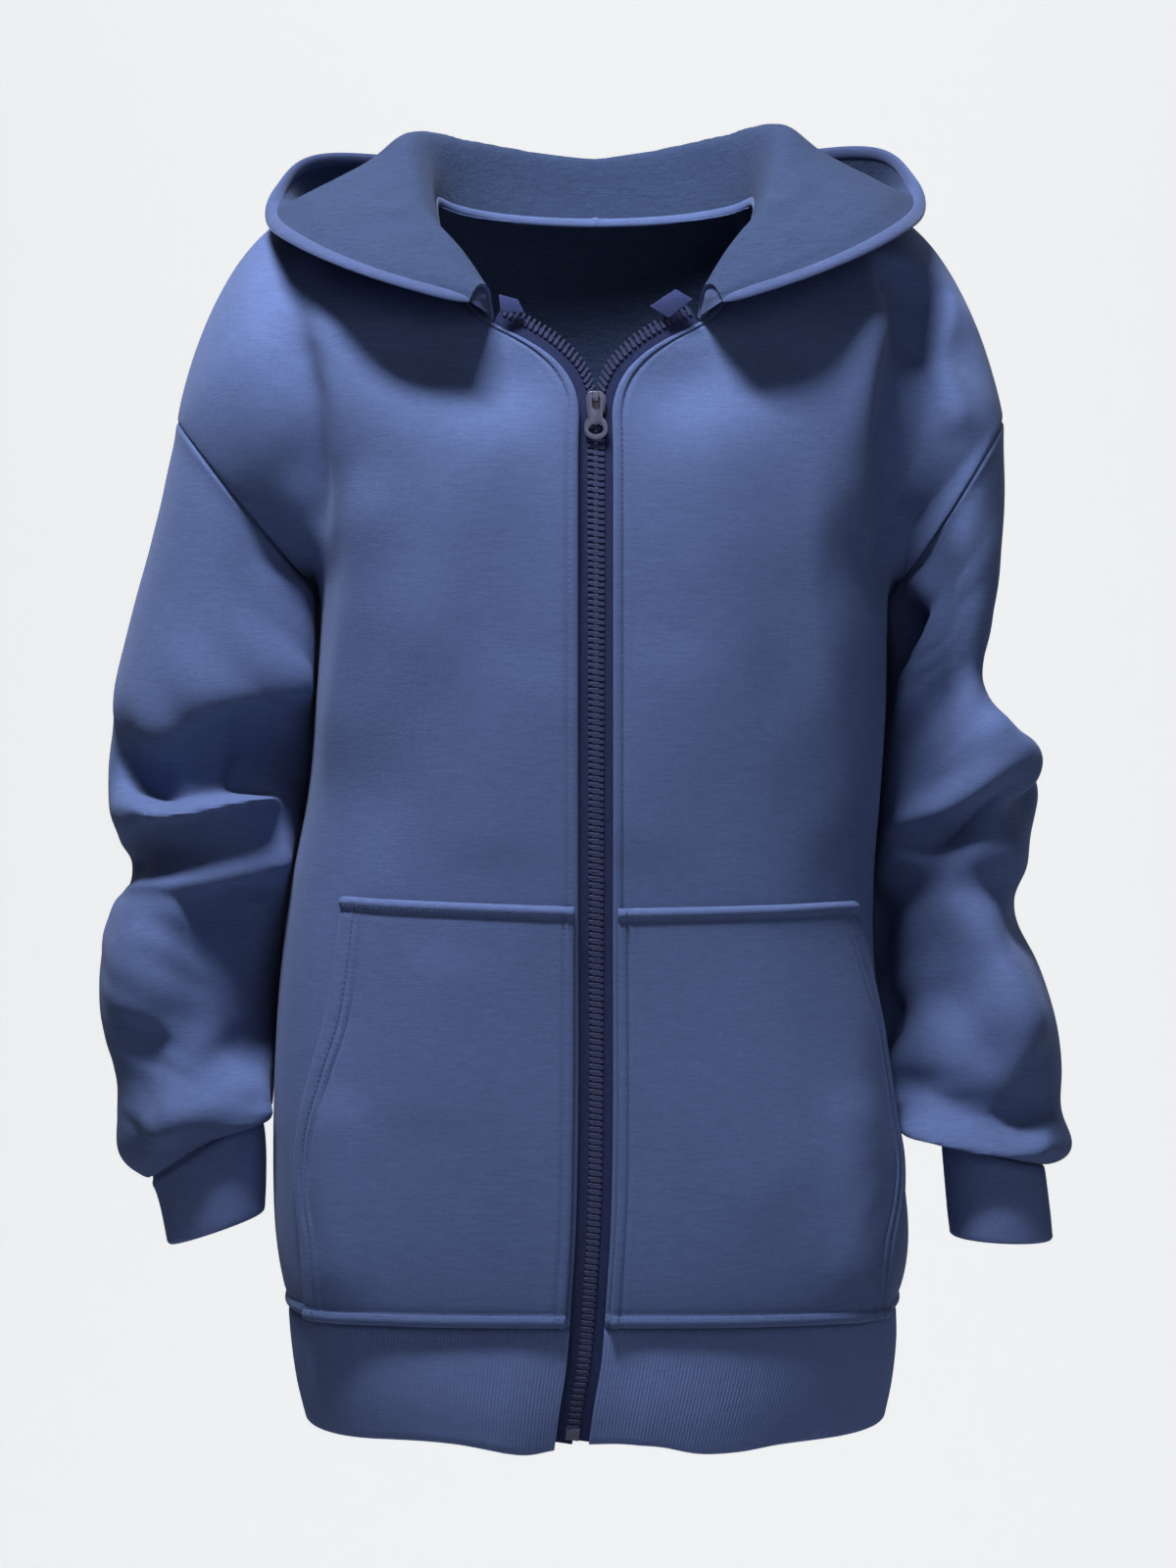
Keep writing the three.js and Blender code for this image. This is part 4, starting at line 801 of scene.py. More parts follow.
sleeveFolds = {
    "right": {
        "front": [
            (-30, 8, 32, [(-294, -308), (-264, -316), (-238, -314), (-212, -309), (-190, -302)],
             0, 0.14),
            (-26, 32, 30, [(-208, -300), (-192, -304), (-172, -314), (-150, -320)]),
            (11, 9, 34, [(-292, -306), (-264, -289), (-235, -269), (-200, -255), (-163, -251),
                         (-148, -250)], 8, 0.12),
            (13, 7, 8, [(-282, -318), (-264, -326), (-238, -324), (-213, -317), (-198, -318),
                        (-193, -327), (-199, -340)], 3),
            (-14, 10, 16, [(-174, -296), (-177, -322), (-182, -348), (-190, -374)]),
            (-14, 6, 13, [(-288, -366), (-258, -356), (-232, -349), (-206, -340), (-194, -332)]),
            (11, 8, 7, [(-292, -381), (-270, -374), (-238, -368), (-208, -358), (-184, -337)],
             6, 0.14),
            (-16, 22, 4, [(-246, -382), (-223, -382), (-197, -383), (-168, -385)]),
            (-16, 36, 20, [(-178, -388), (-179, -420), (-178, -452), (-180, -476)]),
            (8, 8, 12, [(-222, -412), (-230, -458), (-247, -489), (-262, -528)]),
            (-6, 12, 8, [(-264, -455), (-257, -483), (-264, -512)]),
            (9, 11, 12, [(-172, -450), (-212, -480), (-242, -504), (-266, -533)], 3),
            (-7, 8, 8, [(-206, -460), (-232, -485), (-251, -509)]),
            (-3.0, 5, 4, [(-234, -384), (-234, -420), (-235, -459), (-247, -492), (-262, -528)],
             0, 0.06),
            (5, 22, 22, [(-268, -391), (-272, -423), (-266, -458)]),
        ],
        "back": [
            (-11.2, 14, 10, [(-282, -292), (-250, -312), (-214, -308), (-176, -296)]),
            (9.8, 10, 16, [(-284, -276), (-248, -290), (-212, -286), (-176, -274)], 3),
            (8.4, 12, 9, [(-286, -330), (-252, -338), (-214, -332), (-184, -340)]),
            (-9.8, 9, 12, [(-286, -366), (-250, -372), (-212, -364), (-182, -372)]),
            (7, 12, 12, [(-288, -392), (-254, -400), (-216, -390)], 2),
            (-7, 12, 12, [(-280, -440), (-250, -452), (-214, -440), (-190, -448)]),
            (8.4, 12, 10, [(-284, -496), (-246, -506), (-208, -498)], 3),
        ],
    },
    "left": {
        "front": [
            (-20, 36, 5, [(150, -194), (172, -199), (190, -206), (204, -218)]),
            (-20, 12, 15, [(172, -160), (170, -222), (167, -268), (165, -320), (164, -345)]),
            (8, 8, 10, [(183, -160), (195, -192), (200, -233), (196, -285)]),
            (-7, 7, 7, [(207, -165), (210, -222), (207, -290)]),
            (8, 8, 20, [(217, -140), (219, -210), (218, -279), (215, -337)]),
            (11, 12, 16, [(223, -272), (246, -292), (264, -309)]),
            (9, 13, 5, [(264, -306), (229, -315), (212, -331), (185, -340), (160, -350)], 4),
            (-13, 5, 13, [(266, -315), (238, -321), (220, -338), (194, -347), (158, -362)]),
            (7, 14, 14, [(217, -352), (243, -355), (258, -371)]),
            (-16, 16, 30, [(163, -362), (165, -406), (172, -455), (190, -486)]),
            (11, 14, 16, [(200, -365), (224, -406), (247, -440), (266, -478)]),
            (-6, 9, 9, [(205, -430), (226, -462), (246, -490)]),
            (-13, 6, 15, [(160, -455), (183, -491), (217, -512), (252, -519), (275, -508)]),
            (10, 9, 8, [(158, -486), (194, -516), (226, -528), (276, -530)], 5),
        ],
        "back": [
            (-11.2, 10, 14, [(176, -284), (206, -300), (236, -304), (262, -292)]),
            (9.8, 16, 10, [(178, -262), (208, -278), (238, -282), (262, -272)], 3),
            (8.4, 9, 12, [(180, -336), (212, -330), (244, -338), (266, -330)]),
            (-8.4, 12, 9, [(184, -372), (214, -378), (246, -366), (262, -372)]),
            (7, 12, 12, [(182, -408), (214, -420), (248, -408)], 2),
            (-7, 12, 12, [(186, -462), (222, -470), (262, -456)]),
            (8.4, 10, 12, [(188, -504), (226, -514), (268, -500)], 3),
        ],
    },
}


leanSet = {
    "clear": 2.2 * mm, "press": 18 * mm,     # from the body, and the furthest the cloth is moved
    "side": 0.12, "below": -0.18, "start": -0.19,     # the body's side lies further out and lower
    "step": 4 * mm, "reach": 6 * mm, "levels": (-140, -44),     # one outline every step of height
    "share": 0.42, "cuffFree": 50 * mm, "armFree": (8 * mm, 10 * mm),
}


def innerShare(points):
    # 1 on the side of a tube that faces the body, 0 on its outer side
    out = np.abs(points[..., 0])
    low, high = out.min(axis=1, keepdims=True), out.max(axis=1, keepdims=True)
    return 1 - (out - low) / (high - low)


def bodyOutlines(side):
    sign = sides[side]
    body = np.concatenate([clothLines[f"front_{side}"][0].reshape(-1, 3),
                           clothLines["back"][0].reshape(-1, 3)])
    body = body[(body[:, 0] * sign > leanSet["side"]) & (body[:, 2] < leanSet["below"])]
    outlines = {}
    for level in range(*leanSet["levels"]):
        band = body[np.abs(body[:, 2] - level * leanSet["step"]) < leanSet["reach"]]
        order = np.argsort(band[:, 1])
        outlines[level] = (band[order, 1], np.abs(band[order, 0]))
    return outlines


def restOnBody(points, side):
    # the inner side of a sleeve leans against the side of the body
    sign = sides[side]
    outlines = bodyOutlines(side)
    inward = smoothShare(np.clip(1 - (1 - innerShare(points)) / leanSet["share"], 0, 1))
    inward *= np.clip(edgeDistances(points, "bottom") / leanSet["cuffFree"], 0, 1)
    start, length = leanSet["armFree"]
    inward *= np.clip((edgeDistances(points, "top") - start) / length, 0, 1)
    moved = points.copy()
    for r, c in np.argwhere((inward > 0) & (points[..., 2] < leanSet["start"])):
        x, y, z = points[r, c]
        depths, outs = outlines.get(int(round(z / leanSet["step"])), ((), ()))
        if len(depths):
            edge = float(np.interp(y, depths, outs, left=leanSet["side"], right=leanSet["side"]))
            gap = abs(x) - edge - leanSet["clear"]
            press = min(max(gap, -leanSet["press"]), leanSet["press"])
            moved[r, c, 0] -= sign * press * inward[r, c]
    return moved


def tipEnd(points, edge, reach):
    # the seam of sleeve and cuff runs higher on the inner side of the arm than on the outer
    share = np.clip(1 - edgeDistances(points, edge) / reach, 0, 1)
    moved = points.copy()
    moved[..., 2] += sleeveSet["tip"] * innerShare(points) * smoothShare(share)
    return moved


def makeSleeve(side):
    sign = sides[side]
    node = f"sleeve_{side}"
    coarse = latticeOf(node, (sign, 0, 0), start=(sign * 0.205, 0.0, -0.545),
                       toward=(sign * 0.205, -0.03, -0.545), ring=True)
    points = refine(coarse, sleeveSet["rows"], sleeveSet["columns"],
                    near=(seamNear, ()), far=(armTuckNear, ()),
                    reach=((seamReach, armTuckReach), (0, 0)), ring=True)
    ends = ("bottom", "top")
    first, second, third = sleeveSet["evened"]
    points = softenedInside(points, first, ends)
    normals = normalsOf(points, (sign, 0, 0), ring=True)
    points = swell(points, normals, sleeveMounds[side], held=ends)
    points = addFolds(points, normals, sleeveFolds[side]["front"], facing=-1, held=ends,
                      reach=sleeveSet["foldReach"])
    points = addFolds(points, normals, sleeveFolds[side]["back"], facing=1, held=ends)
    points = tipEnd(points, "bottom", sleeveSet["tipReach"])
    points = restOnBody(softenedInside(points, second, ends), side)
    points = softenedInside(points, third, ends)
    normals = normalsOf(points, (sign, 0, 0), ring=True)
    points = shapeEdge(points, normals, "top", armTuck)
    inner = points - normals * sleeveSet["wall"]
    points = shapeEdge(points, normals, "bottom", seamDip)
    made = clothPiece(f"sleeveTube_{side}", points, inner, jersey, shadedFleece, node,
                      ring=True)


makeBack()
for side in sides:
    makeFront(side)
    makeSleeve(side)
print("panels and sleeves made")


# rib: cuffs and hem band

ribSet = {"wall": 2.6 * mm, "depth": 0.42 * mm, "readings": 4,     # readings across each wale
          "calmBelow": 3 * mm, "calmAbove": 2 * mm}
cuffSet = {"rows": 16, "cut": (0.230, 0.055), "wales": 108, "tipReach": 60 * mm}
hemSet = {"rows": 18, "cut": (1.080, 0.075), "wales": 480, "flare": 6 * mm, "zipFree": 30 * mm}
turnedEdge = [(0, -1.4), (0.8, -0.5), (2.0, 0), (6, 0)]
turnedNear = (0, 0.8 * mm, 2.0 * mm)
ribTuck = [(0, -3.6), (3.4, -3.2), (4.8, -1.9), (5.8, -0.9), (7.0, -0.2), (8.5, 0)]
ribTuckNear = (0, 3.4 * mm, 4.8 * mm, 5.8 * mm, 7.0 * mm, 8.5 * mm)
ribTuckReach = 5.0 * mm


def ribbed(points, normals):
    # every wale is a ridge and a valley; they die away at the turned edge and the seam
    turn = np.cos(np.arange(points.shape[1]) * 2 * np.pi / ribSet["readings"])
    share = np.minimum(edgeDistances(points, "bottom") / ribSet["calmBelow"], 1)
    share = np.minimum(share, edgeDistances(points, "top") / ribSet["calmAbove"])
    return points + normals * (ribSet["depth"] * 0.5 * turn[None, :] * share)[..., None]


def ribPiece(name, points, normals, node, ring=False):
    points = shapeEdge(points, normals, "top", ribTuck)
    inner = points - normals * ribSet["wall"]
    points = ribbed(shapeEdge(points, normals, "bottom", turnedEdge), normals)
    return clothPiece(name, points, inner, ribKnitPaintedLight, ribKnitPaintedLight, node, ring)


def makeCuff(side):
    sign = sides[side]
    node = f"cuff_{side}"
    coarse = latticeOf(node, (sign, 0, 0), start=(sign * 0.215, 0.0, -0.595),
                       toward=(sign * 0.215, -0.03, -0.595), wall=ribSet["wall"], ring=True)
    points = refine(coarse, cuffSet["rows"], cuffSet["wales"] * ribSet["readings"],
                    near=(turnedNear, ()), far=(ribTuckNear, ()), reach=((0, ribTuckReach), (0, 0)),
                    ring=True)
    points = tipEnd(points, "top", cuffSet["tipReach"])
    normals = normalsOf(points, (sign, 0, 0), ring=True)
    made = ribPiece(f"ribCuff_{side}", points, normals, node, ring=True)


def makeHem():
    coarse = latticeOf("hem_band", (0, 1, 0), start=(-0.015, -0.11, -0.694),
                       toward=(-0.10, -0.11, -0.694), wall=ribSet["wall"])
    points = refine(coarse, hemSet["rows"], hemSet["wales"] * ribSet["readings"],
                    near=(turnedNear, ()), far=(ribTuckNear, ()), reach=((0, ribTuckReach), (0, 0)))
    normals = normalsOf(points, (0, 1, 0))
    fall = edgeDistances(points, "top")
    fromZip = np.minimum(edgeDistances(points, "start"), edgeDistances(points, "end"))
    fromZip = np.clip(fromZip / hemSet["zipFree"], 0, 1)
    points = points + normals * (hemSet["flare"] * fall / fall.max() * fromZip)[..., None]
    made = ribPiece("ribHem", points, normals, "hem_band")


for side in sides:
    makeCuff(side)
makeHem()
print("rib made")


# pockets

pocketSet = {
    "raise": {"right": (4 * mm, 9 * mm), "left": (3 * mm, 6 * mm)},   # the top seam slopes a little
    "raiseReach": 200 * mm, "evened": 1,
    "rows": 84, "columns": 56, "wall": 2.0 * mm, "cut": (0.170, 0.250), "area": 0.0385,
    "top": [(0, -1.6), (0.8, 0.6), (2.0, 1.8), (3.6, 2.2), (5.2, 1.7), (6.6, 0.5), (7.4, -0.5),
            (8.4, -0.3), (11, 0)],
    "opening": [(0, -0.8), (0.8, 0.7), (2.2, 1.3), (10.6, 1.1), (11.4, -0.4), (12.4, 0.8),
                (16.2, 0.7), (17, -0.6), (18.2, 0)],
    "openingNear": (0, 0.8 * mm, 2.2 * mm, 6 * mm, 10.6 * mm, 11.4 * mm, 12.4 * mm, 14.2 * mm,
                    16.2 * mm, 17 * mm, 18.2 * mm),
    "topStitchIn": 7.6 * mm, "openingStitchIn": (11.5 * mm, 17.0 * mm), "openingStitchTo": 0.95,
}
pocketFolds = {
    "right": [(1.2, 20, 30, [(-84, -400), (-96, -460), (-104, -520)])],
    "left": [(1.0, 20, 26, [(70, -560), (110, -540), (140, -520)])],
}


def makePocket(side):
    sign = sides[side]
    node = f"pocket_{side}"
    coarse = latticeOf(node, (0, -1, 0), start=(sign * 0.010, -0.12, -0.622),
                       toward=(sign * 0.10, -0.12, -0.622))
    points = refine(coarse, pocketSet["rows"], pocketSet["columns"],
                    near=(hemRidgeNear, frontSet["zipNear"]),
                    far=(tuple(d * mm for d, _ in pocketSet["top"]), pocketSet["openingNear"]),
                    reach=((seamReach, 0), (0, 0)))
    points = softened(points, pocketSet["evened"])
    raised = np.linspace(*pocketSet["raise"][side], points.shape[1])[None, :]
    nearTop = np.clip(1 - edgeDistances(points, "top") / pocketSet["raiseReach"], 0, 1)
    points[..., 2] += raised * nearTop
    normals = normalsOf(points, (0, -1, 0))
    points = swell(points, normals, frontMounds[side], held=("bottom",))
    points = addFolds(points, normals, frontFolds[side] + pocketFolds[side], held=("bottom",))
    normals = normalsOf(points, (0, -1, 0))
    inner = points - normals * pocketSet["wall"]
    points = shapeEdge(points, normals, "end", pocketSet["opening"])
    points = shapeEdge(points, normals, "top", pocketSet["top"])
    points = shapeEdge(points, normals, "bottom", hemRidge)
    points = shapeEdge(points, normals, "start", frontSet["zipEdge"])
    made = clothPiece(f"pocketPanel_{side}", points, inner, jersey, shadedFleece, node)
    stitches = stitchPiece(f"pocketStitches_{side}", [
        lineOn(points, normals, "top", pocketSet["topStitchIn"]),
        lineOn(points, normals, "bottom", hemStitchIn),
        lineOn(points, normals, "start", frontSet["stitchIn"])]
        + [lineOn(points, normals, "end", inset, pocketSet["openingStitchTo"])
           for inset in pocketSet["openingStitchIn"]])


for side in sides:
    makePocket(side)
print("pockets made")


# hood

hoodSet = {
    "rows": 90, "columns": 84, "wall": 2.0 * mm, "cut": (0.290, 0.360), "area": 0.090, "evened": 10,
    "standOff": 13 * mm, "standFrom": -20 * mm, "standOver": 60 * mm, "standPower": 1.5,
    "rimWide": 4.6 * mm, "rimThick": 1.9 * mm,
    "endPoints": 28, "endDome": 2 * mm, "endThick": 2 * mm, "endInset": 0.12,
}
hoodFolds = {
    "right": [(-2.2, 7, 7, [(-92, 36), (-118, 22), (-146, 8)]),
              (-1.6, 6, 8, [(-84, 10), (-106, 0), (-130, -8)])],
    "left": [(-3, 5, 8, [(84, 34), (108, 26), (134, 14), (156, 4)]),
             (-2.4, 5, 7, [(96, 46), (122, 40), (150, 26)]),
             (-2, 6, 6, [(90, 8), (112, 2), (140, -8)])],
}


def makeHood(side):
    sign = sides[side]
    node = f"hood_{side}"
    coarse = latticeOf(node, (0, 1, 0), start=(sign * 0.060, -0.105, -0.042),
                       toward=(sign * 0.075, -0.09, -0.020))
    points = refine(coarse, hoodSet["rows"], hoodSet["columns"],
                    near=(seamNear, ()), far=((), seamNear), reach=((seamReach, 0), (0, seamReach)))
    points = softened(points, hoodSet["evened"])
    down = np.linspace(0, 1, len(points))[:, None]     # 0 at the neckline, 1 at the rim
    front = np.clip((hoodSet["standFrom"] - points[..., 1]) / hoodSet["standOver"], 0, 1)
    points[..., 1] -= hoodSet["standOff"] * smoothShare(front) * down ** hoodSet["standPower"]
    normals = normalsOf(points, (0, 1, 0))
    points = addFolds(points, normals, hoodFolds[side], facing=1)
    normals = normalsOf(points, (0, 1, 0))
    inner = points - normals * hoodSet["wall"]
    points = shapeEdge(points, normals, "end", seamDip)
    made = clothPiece(f"hoodHalf_{side}", points, inner, jersey, shadedFleece, node)
    clothLines[node] = (points, normals)


for side in sides:
    makeHood(side)


bandSet = {"turns": 12, "ends": (0.45, 0.8, 0.95)}     # readings round a roll, and its closing ends


def sweptBand(name, line, ups, wide, thick, material):
    # an oval roll along a line: a create_circle ring carried along, bridged and capped
    bm = bmesh.new()
    rings = []
    for index in range(len(line)):
        ahead = line[min(index + 1, len(line) - 1)] - line[max(index - 1, 0)]
        along = Vector(ahead).normalized()
        side = Vector(ups[index]).cross(along).normalized()
        up = along.cross(side).normalized()
        fromEnd = min(index, len(line) - 1 - index)
        grow = bandSet["ends"][fromEnd] if fromEnd < len(bandSet["ends"]) else 1.0
        place = Matrix((side * wide * grow, up * thick * grow, along)).transposed().to_4x4()
        place.translation = Vector(line[index])
        rings.append(bmesh.ops.create_circle(bm, segments=bandSet["turns"], radius=1,
                                             matrix=place)["verts"])
    for pair in zip(rings[:-1], rings[1:]):
        edges = {e for ring in pair for v in ring for e in v.link_edges if e.other_vert(v) in ring}
        bmesh.ops.bridge_loops(bm, edges=list(edges))
    bmesh.ops.contextual_create(bm, geom=rings[0])
    bmesh.ops.contextual_create(bm, geom=rings[-1])
    bmesh.ops.recalc_face_normals(bm, faces=bm.faces)
    finishObject(bm, name, [material])


def aroundNeck(lineOf):
    # one line, with its normals, from the right half's zip end round the back to the left half's
    right, left = (lineOf(*clothLines[f"hood_{side}"]) for side in sides)
    return [np.concatenate([one, two[::-1][1:]]) for one, two in zip(right, left)]


def rimLine(points, normals):
    return points[-1] - normals[-1] * hoodSet["wall"] * 0.5, normals[-1]


# the rim roll wears the darkened jersey copy, painted shade
sweptBand("hoodRim", *aroundNeck(rimLine), hoodSet["rimWide"], hoodSet["rimThick"], shadedRimJersey)


def hoodEnd(side):
    # the folded front end of the hood, closed where it meets the zip
    points, normals = clothLines[f"hood_{side}"]
    inward = points[:, 2] - points[:, 0]
    line = points[:, 0] + inward * hoodSet["endInset"] - normals[:, 0] * hoodSet["wall"] * 0.5
    line = smoothLine(line, np.linspace(0, len(line) - 1, hoodSet["endPoints"]))
    bm = bmesh.new()
    ring = bmesh.ops.create_circle(bm, segments=len(line), radius=1, cap_ends=True)["verts"]
    for vert, where in zip(ring, line):
        vert.co = where
    step = Vector(inward.mean(axis=0)).normalized()
    grown = bmesh.ops.extrude_face_region(bm, geom=bm.faces[:])["geom"]
    bmesh.ops.translate(bm, verts=vertsOf(grown), vec=step * hoodSet["endThick"])
    wide = [f for f in bm.faces if len(f.verts) > 4]
    middles = bmesh.ops.poke(bm, faces=wide)["verts"]
    for vert in middles:
        vert.co -= step * hoodSet["endDome"]
    bmesh.ops.recalc_face_normals(bm, faces=bm.faces)
    # the end cap wears the darkened jersey copy, painted shade
    finishObject(bm, f"hoodEnd_{side}", [shadedRimJersey])


for side in sides:
    hoodEnd(side)

neckSet = {"drop": 1.6 * mm, "inward": 1.0 * mm, "wide": 3.4 * mm, "thick": 1.5 * mm}


def neckLine(points, normals):
    # where the hood is joined to the neckline: a little below and inside its lower edge
    down = points[0] - points[3]
    down /= np.linalg.norm(down, axis=1, keepdims=True)
    return points[0] + down * neckSet["drop"] - normals[0] * neckSet["inward"], normals[0]


sweptBand("neckSeam", *aroundNeck(neckLine), neckSet["wide"], neckSet["thick"], jersey)
print("hood made")


# zip

zipSet = {
    "pitch": 3.6 * mm, "thick": 2.3 * mm, "bottom": -0.6860,
    "outline": [(-4.2, 0.8), (-3.8, 1.15), (-1.3, 1.15), (-0.3, 0.80), (0.8, 0.86), (2.0, 0.84),
                (2.5, 0.5)],
    "corner": 0.34 * mm, "above": 0.2 * mm, "crease": 35, "ahead": 1 * mm,
    "tapeCut": (0.0156, 0.665), "tapeRows": 330, "tapeColumns": 10, "tapeWall": 1 * mm,
    "tapeUnder": 4.8 * mm,
    "cordRise": [(0, 0.1), (0.6, 0.35), (1.6, 0.35), (2.4, 0), (3, 0)],
}


def toothMesh():
    # one moulded tooth: a flat outline raised to its thickness, its long edges rounded over
    bm = bmesh.new()
    half = [(a * mm, b * mm) for a, b in zipSet["outline"]]
    outline = half + [(a, -b) for a, b in half[::-1]]
    face = bm.faces.new([bm.verts.new((a, b, -zipSet["thick"] / 2)) for a, b in outline])
    raised = bmesh.ops.extrude_face_region(bm, geom=[face])["geom"]
    bmesh.ops.translate(bm, verts=vertsOf(raised), vec=(0, 0, zipSet["thick"]))
    bmesh.ops.recalc_face_normals(bm, faces=bm.faces)
    rims = [e for e in bm.edges if e.verts[0].co.z > 0 and e.verts[1].co.z > 0]
    bmesh.ops.bevel(bm, geom=rims, offset=zipSet["corner"], offset_type="OFFSET", affect="EDGES",
                    segments=1, profile=0.5, material=-1)
    mesh = bpy.data.meshes.new("oneTooth")
    bm.to_mesh(mesh)
    bm.free()
    return mesh


def teethPlaces(edge, side, low, high):
    # closed part: even steps in height, the two sides half a step apart; open part: even lengths
    lengths = lengthsAlong(edge)
    first = 0.5 if side == "right" else 1.0
    places, z = [], low - zipSet["pitch"] * first * 0.5
    while z > zipSet["bottom"]:
        places.append((float(np.interp(z, edge[:, 2], lengths)), True))
        z -= zipSet["pitch"]
    at = float(np.interp(high, edge[:, 2], lengths)) + zipSet["pitch"] * first
    while at < lengths[-1] - zipSet["pitch"] / 2:
        places.append((at, False))
        at += zipSet["pitch"]
    return lengths, places


def makeZipSide(side):
    sign = sides[side]
    node = f"zip_tape_{side}"
    coarse = latticeOf(node, (0, -1, 0), start=(sign * 0.016 - 0.010, -0.11, -0.694),
                       toward=(-0.012, -0.11, -0.694), wall=zipSet["tapeWall"])
    points = refine(coarse, zipSet["tapeRows"], zipSet["tapeColumns"],
                    reach=((0, 0), (0, zipSet["tapeUnder"])))
    normals = normalsOf(points, (0, -1, 0))
    inner = points - normals * zipSet["tapeWall"]
    points = shapeEdge(points, normals, "end", zipSet["cordRise"])
    tape = clothPiece(f"zipTape_{side}", points, inner, wovenTape, wovenTape, node)
    edge, facing = points[:, -1], normals[:, -1]
    toward = points[:, -1] - points[:, -3]
    sliderLow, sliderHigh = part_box("zip_slider")
    lengths, places = teethPlaces(edge, side, sliderLow.z, sliderHigh.z)
    one = toothMesh()
    bm = bmesh.new()
    for at, closed in places:
        where = Vector(readAt(at, lengths, edge))
        onward = Vector(readAt(at + zipSet["ahead"], lengths, edge)) - where
        up = Vector(readAt(at, lengths, facing)).normalized()
        across = Vector(readAt(at, lengths, toward))
        if closed:
            up, across = Vector((0, up.y, up.z)).normalized(), Vector((-sign, 0, 0))
        across = (across - up * across.dot(up)).normalized()
        along = up.cross(across).normalized()
        if along.dot(onward) < 0:
            along = -along
        turn = Matrix((across, along, across.cross(along))).transposed().to_4x4()
        turn.translation = where - up * zipSet["above"]
        before = len(bm.verts)
        bm.from_mesh(one)
        bm.verts.ensure_lookup_table()
        bmesh.ops.transform(bm, matrix=turn, verts=bm.verts[before:])
    bpy.data.meshes.remove(one)
    teeth = finishObject(bm, f"zipTeeth_{side}", [mouldedTeeth], smoothAngle=zipSet["crease"])
    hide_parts(f"zip_teeth_{side}")
    if side == "right":
        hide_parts("zip_chain")


for side in sides:
    makeZipSide(side)


metalSet = {"flat": 2, "corner": 35, "crease": 40, "steps": 2}     # degrees, and rows at a corner


def roundedCopy(node, name, material, width, body="garment"):
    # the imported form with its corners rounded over
    bm = mergedCopy(node)
    bmesh.ops.dissolve_limit(bm, angle_limit=math.radians(metalSet["flat"]), verts=bm.verts,
                             edges=bm.edges)
    bmesh.ops.recalc_face_normals(bm, faces=bm.faces)
    made = finishObject(bm, name, [material], body=body, smoothAngle=metalSet["crease"])
    bevel = made.modifiers.new("softCorners", "BEVEL")
    bevel.width = width
    bevel.segments = metalSet["steps"]
    bevel.limit_method = "ANGLE"
    bevel.angle_limit = math.radians(metalSet["corner"])
    applyModifiers(made)
    made.data.shade_smooth()
    made.data.set_sharp_from_angle(angle=math.radians(metalSet["crease"]))
    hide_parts(node)


roundedCopy("zip_slider", "sliderBody", paintedMetal, 0.35 * mm)
roundedCopy("zip_pull", "pullTab", paintedMetal, 0.30 * mm, body="pull_tab")
roundedCopy("zip_box", "zipBox", paintedMetal, 0.4 * mm)
for side in sides:
    roundedCopy(f"tape_end_{side}", f"tapeEnd_{side}", tapeEndCloth, 0.3 * mm)
print("zip made")


# stage

stageSet = {
    "half": 4.5, "front": -4.2, "middle": -1.0, "floor": -2.3, "wall": 3.3, "top": 3.6,
    "radius": 0.6, "steps": 12,
    "paint": (0.83, 0.835, 0.84), "rough": 0.9, "glowColour": (0.97, 0.985, 1.0, 1), "glow": 0.56,
}


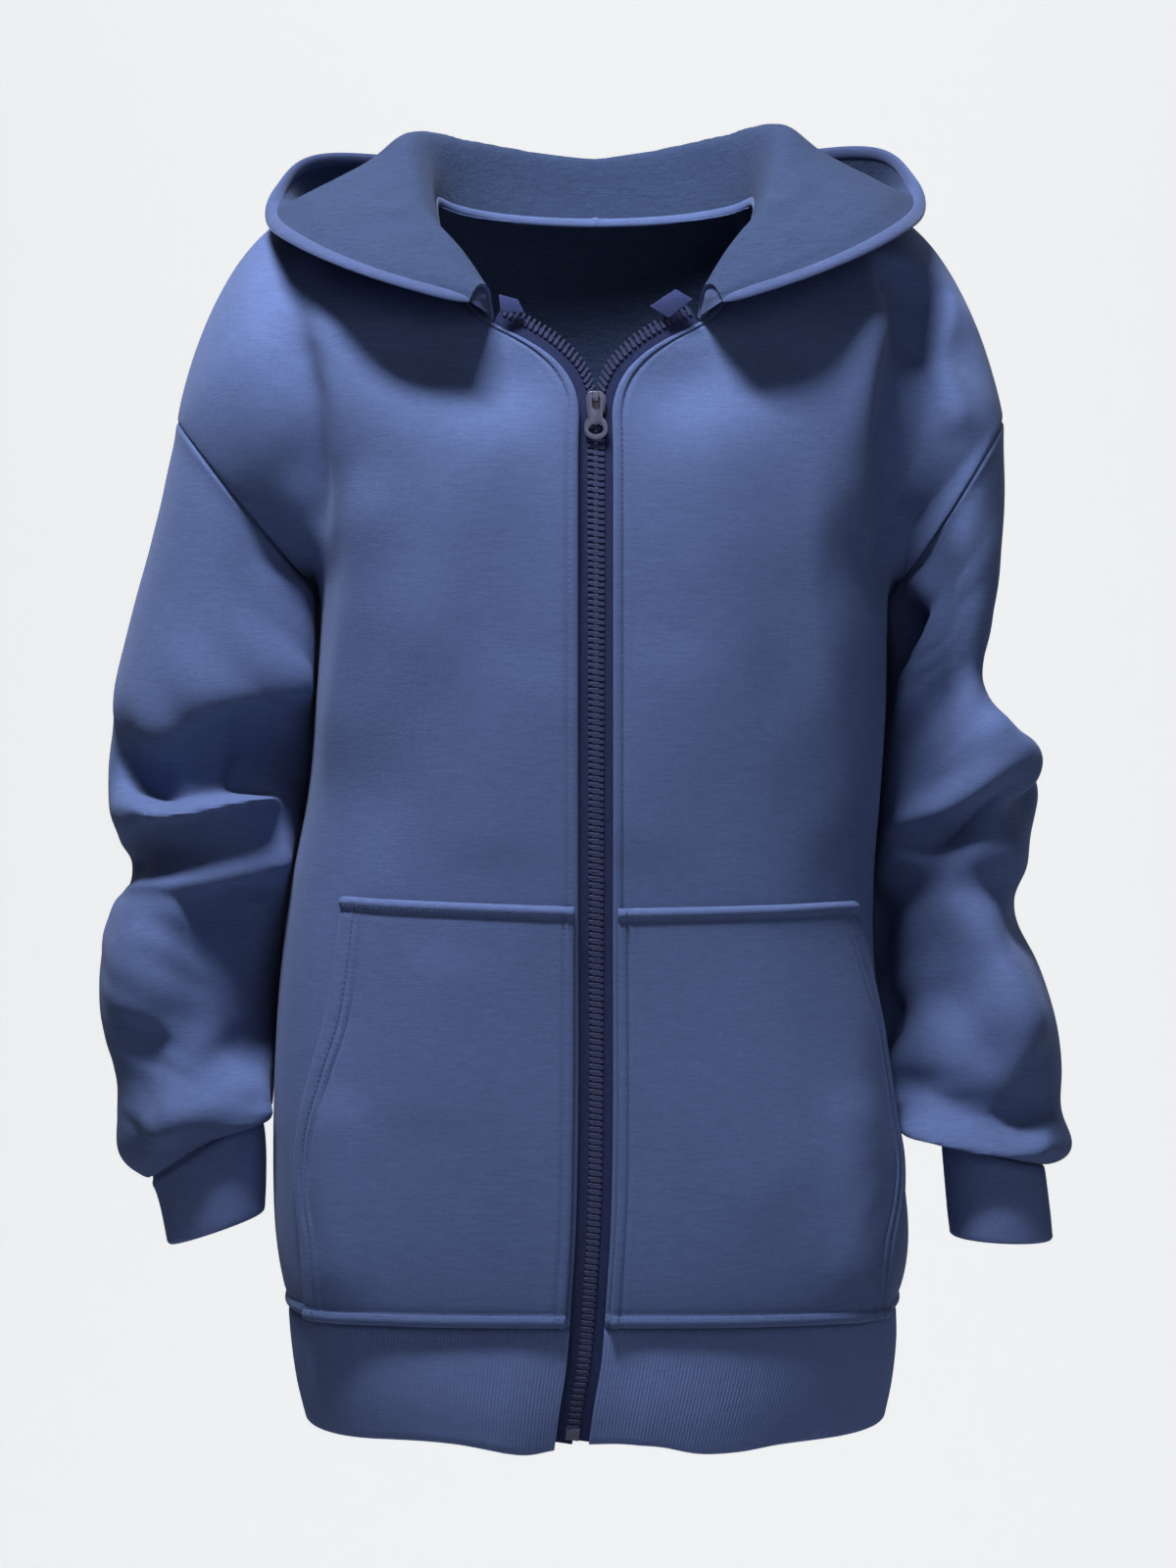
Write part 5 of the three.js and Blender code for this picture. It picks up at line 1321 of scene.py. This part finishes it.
def backdrop():
    bm = bmesh.new()
    low, back, radius = stageSet["floor"], stageSet["wall"], stageSet["radius"]
    profile = [(stageSet["front"], low), (stageSet["middle"], low), (back - radius, low)]
    for step in range(1, stageSet["steps"]):
        angle = math.radians(90 * step / stageSet["steps"])
        profile.append((back - radius + radius * math.sin(angle),
                        low + radius - radius * math.cos(angle)))
    profile += [(back, low + radius), (back, stageSet["top"])]
    verts = [bm.verts.new((-stageSet["half"], y, z)) for y, z in profile]
    edges = [bm.edges.new(pair) for pair in zip(verts[:-1], verts[1:])]
    grown = bmesh.ops.extrude_edge_only(bm, edges=edges)["geom"]
    bmesh.ops.translate(bm, verts=vertsOf(grown), vec=(2 * stageSet["half"], 0, 0))
    bmesh.ops.recalc_face_normals(bm, faces=bm.faces)
    data = bpy.data.meshes.new("paleBackdrop")
    bm.to_mesh(data)
    bm.free()
    data.shade_smooth()
    for name, glow in (("palePaint", 0.0), ("paleLitWall", stageSet["glow"])):
        pale = Finish(name, stageSet["paint"], stageSet["rough"])
        pale.shader.inputs["Emission Color"].default_value = stageSet["glowColour"]
        pale.shader.inputs["Emission Strength"].default_value = glow
        data.materials.append(pale.material)
    glowsFrom = back - radius / stageSet["steps"]     # only the upright wall glows
    for face in data.polygons:
        face.material_index = int(face.center.y > glowsFrom)
    made = bpy.data.objects.new("paleBackdrop", data)
    bpy.context.scene.collection.objects.link(made)


backdrop()


def softLight(name, place, target, size, power):
    data = bpy.data.lights.new(name, "AREA")
    data.shape = "RECTANGLE"
    data.size, data.size_y = size
    data.energy = power
    made = bpy.data.objects.new(name, data)
    made.location = place
    made.rotation_euler = (Vector(target) - Vector(place)).to_track_quat("-Z", "Y").to_euler()
    bpy.context.scene.collection.objects.link(made)


lightSet = {
    "key": ((-0.27, -0.62, 1.12), (0.02, -0.1, -0.30), (0.50, 0.22), 41),
    "front": ((0.9, -3.0, 0.1), (0, 0, -0.30), (2.0, 2.0), 14),
    "wallWash": ((0, 2.35, 4.0), (0, 3.3, -1.2), (3.5, 0.6), 60),
}
for lightName, light in lightSet.items():
    softLight(lightName, *light)
roomSet = {"light": (0.96, 0.98, 1.0, 1), "strength": 0.032, "past": (0.80, 0.81, 0.82, 1)}
world = bpy.data.worlds.new("studioRoom")
world.use_nodes = True
sky, links = world.node_tree.nodes, world.node_tree.links
sky["Background"].inputs["Color"].default_value = roomSet["light"]
sky["Background"].inputs["Strength"].default_value = roomSet["strength"]
paleRoom = sky.new("ShaderNodeBackground")     # what the camera sees past the backdrop
paleRoom.inputs["Color"].default_value = roomSet["past"]
rayKind, eitherRoom = sky.new("ShaderNodeLightPath"), sky.new("ShaderNodeMixShader")
links.new(rayKind.outputs["Is Camera Ray"], eitherRoom.inputs[0])
links.new(sky["Background"].outputs[0], eitherRoom.inputs[1])
links.new(paleRoom.outputs[0], eitherRoom.inputs[2])
links.new(eitherRoom.outputs[0], sky["World Output"].inputs[0])
bpy.context.scene.world = world
bpy.context.scene.view_settings.view_transform = "Standard"
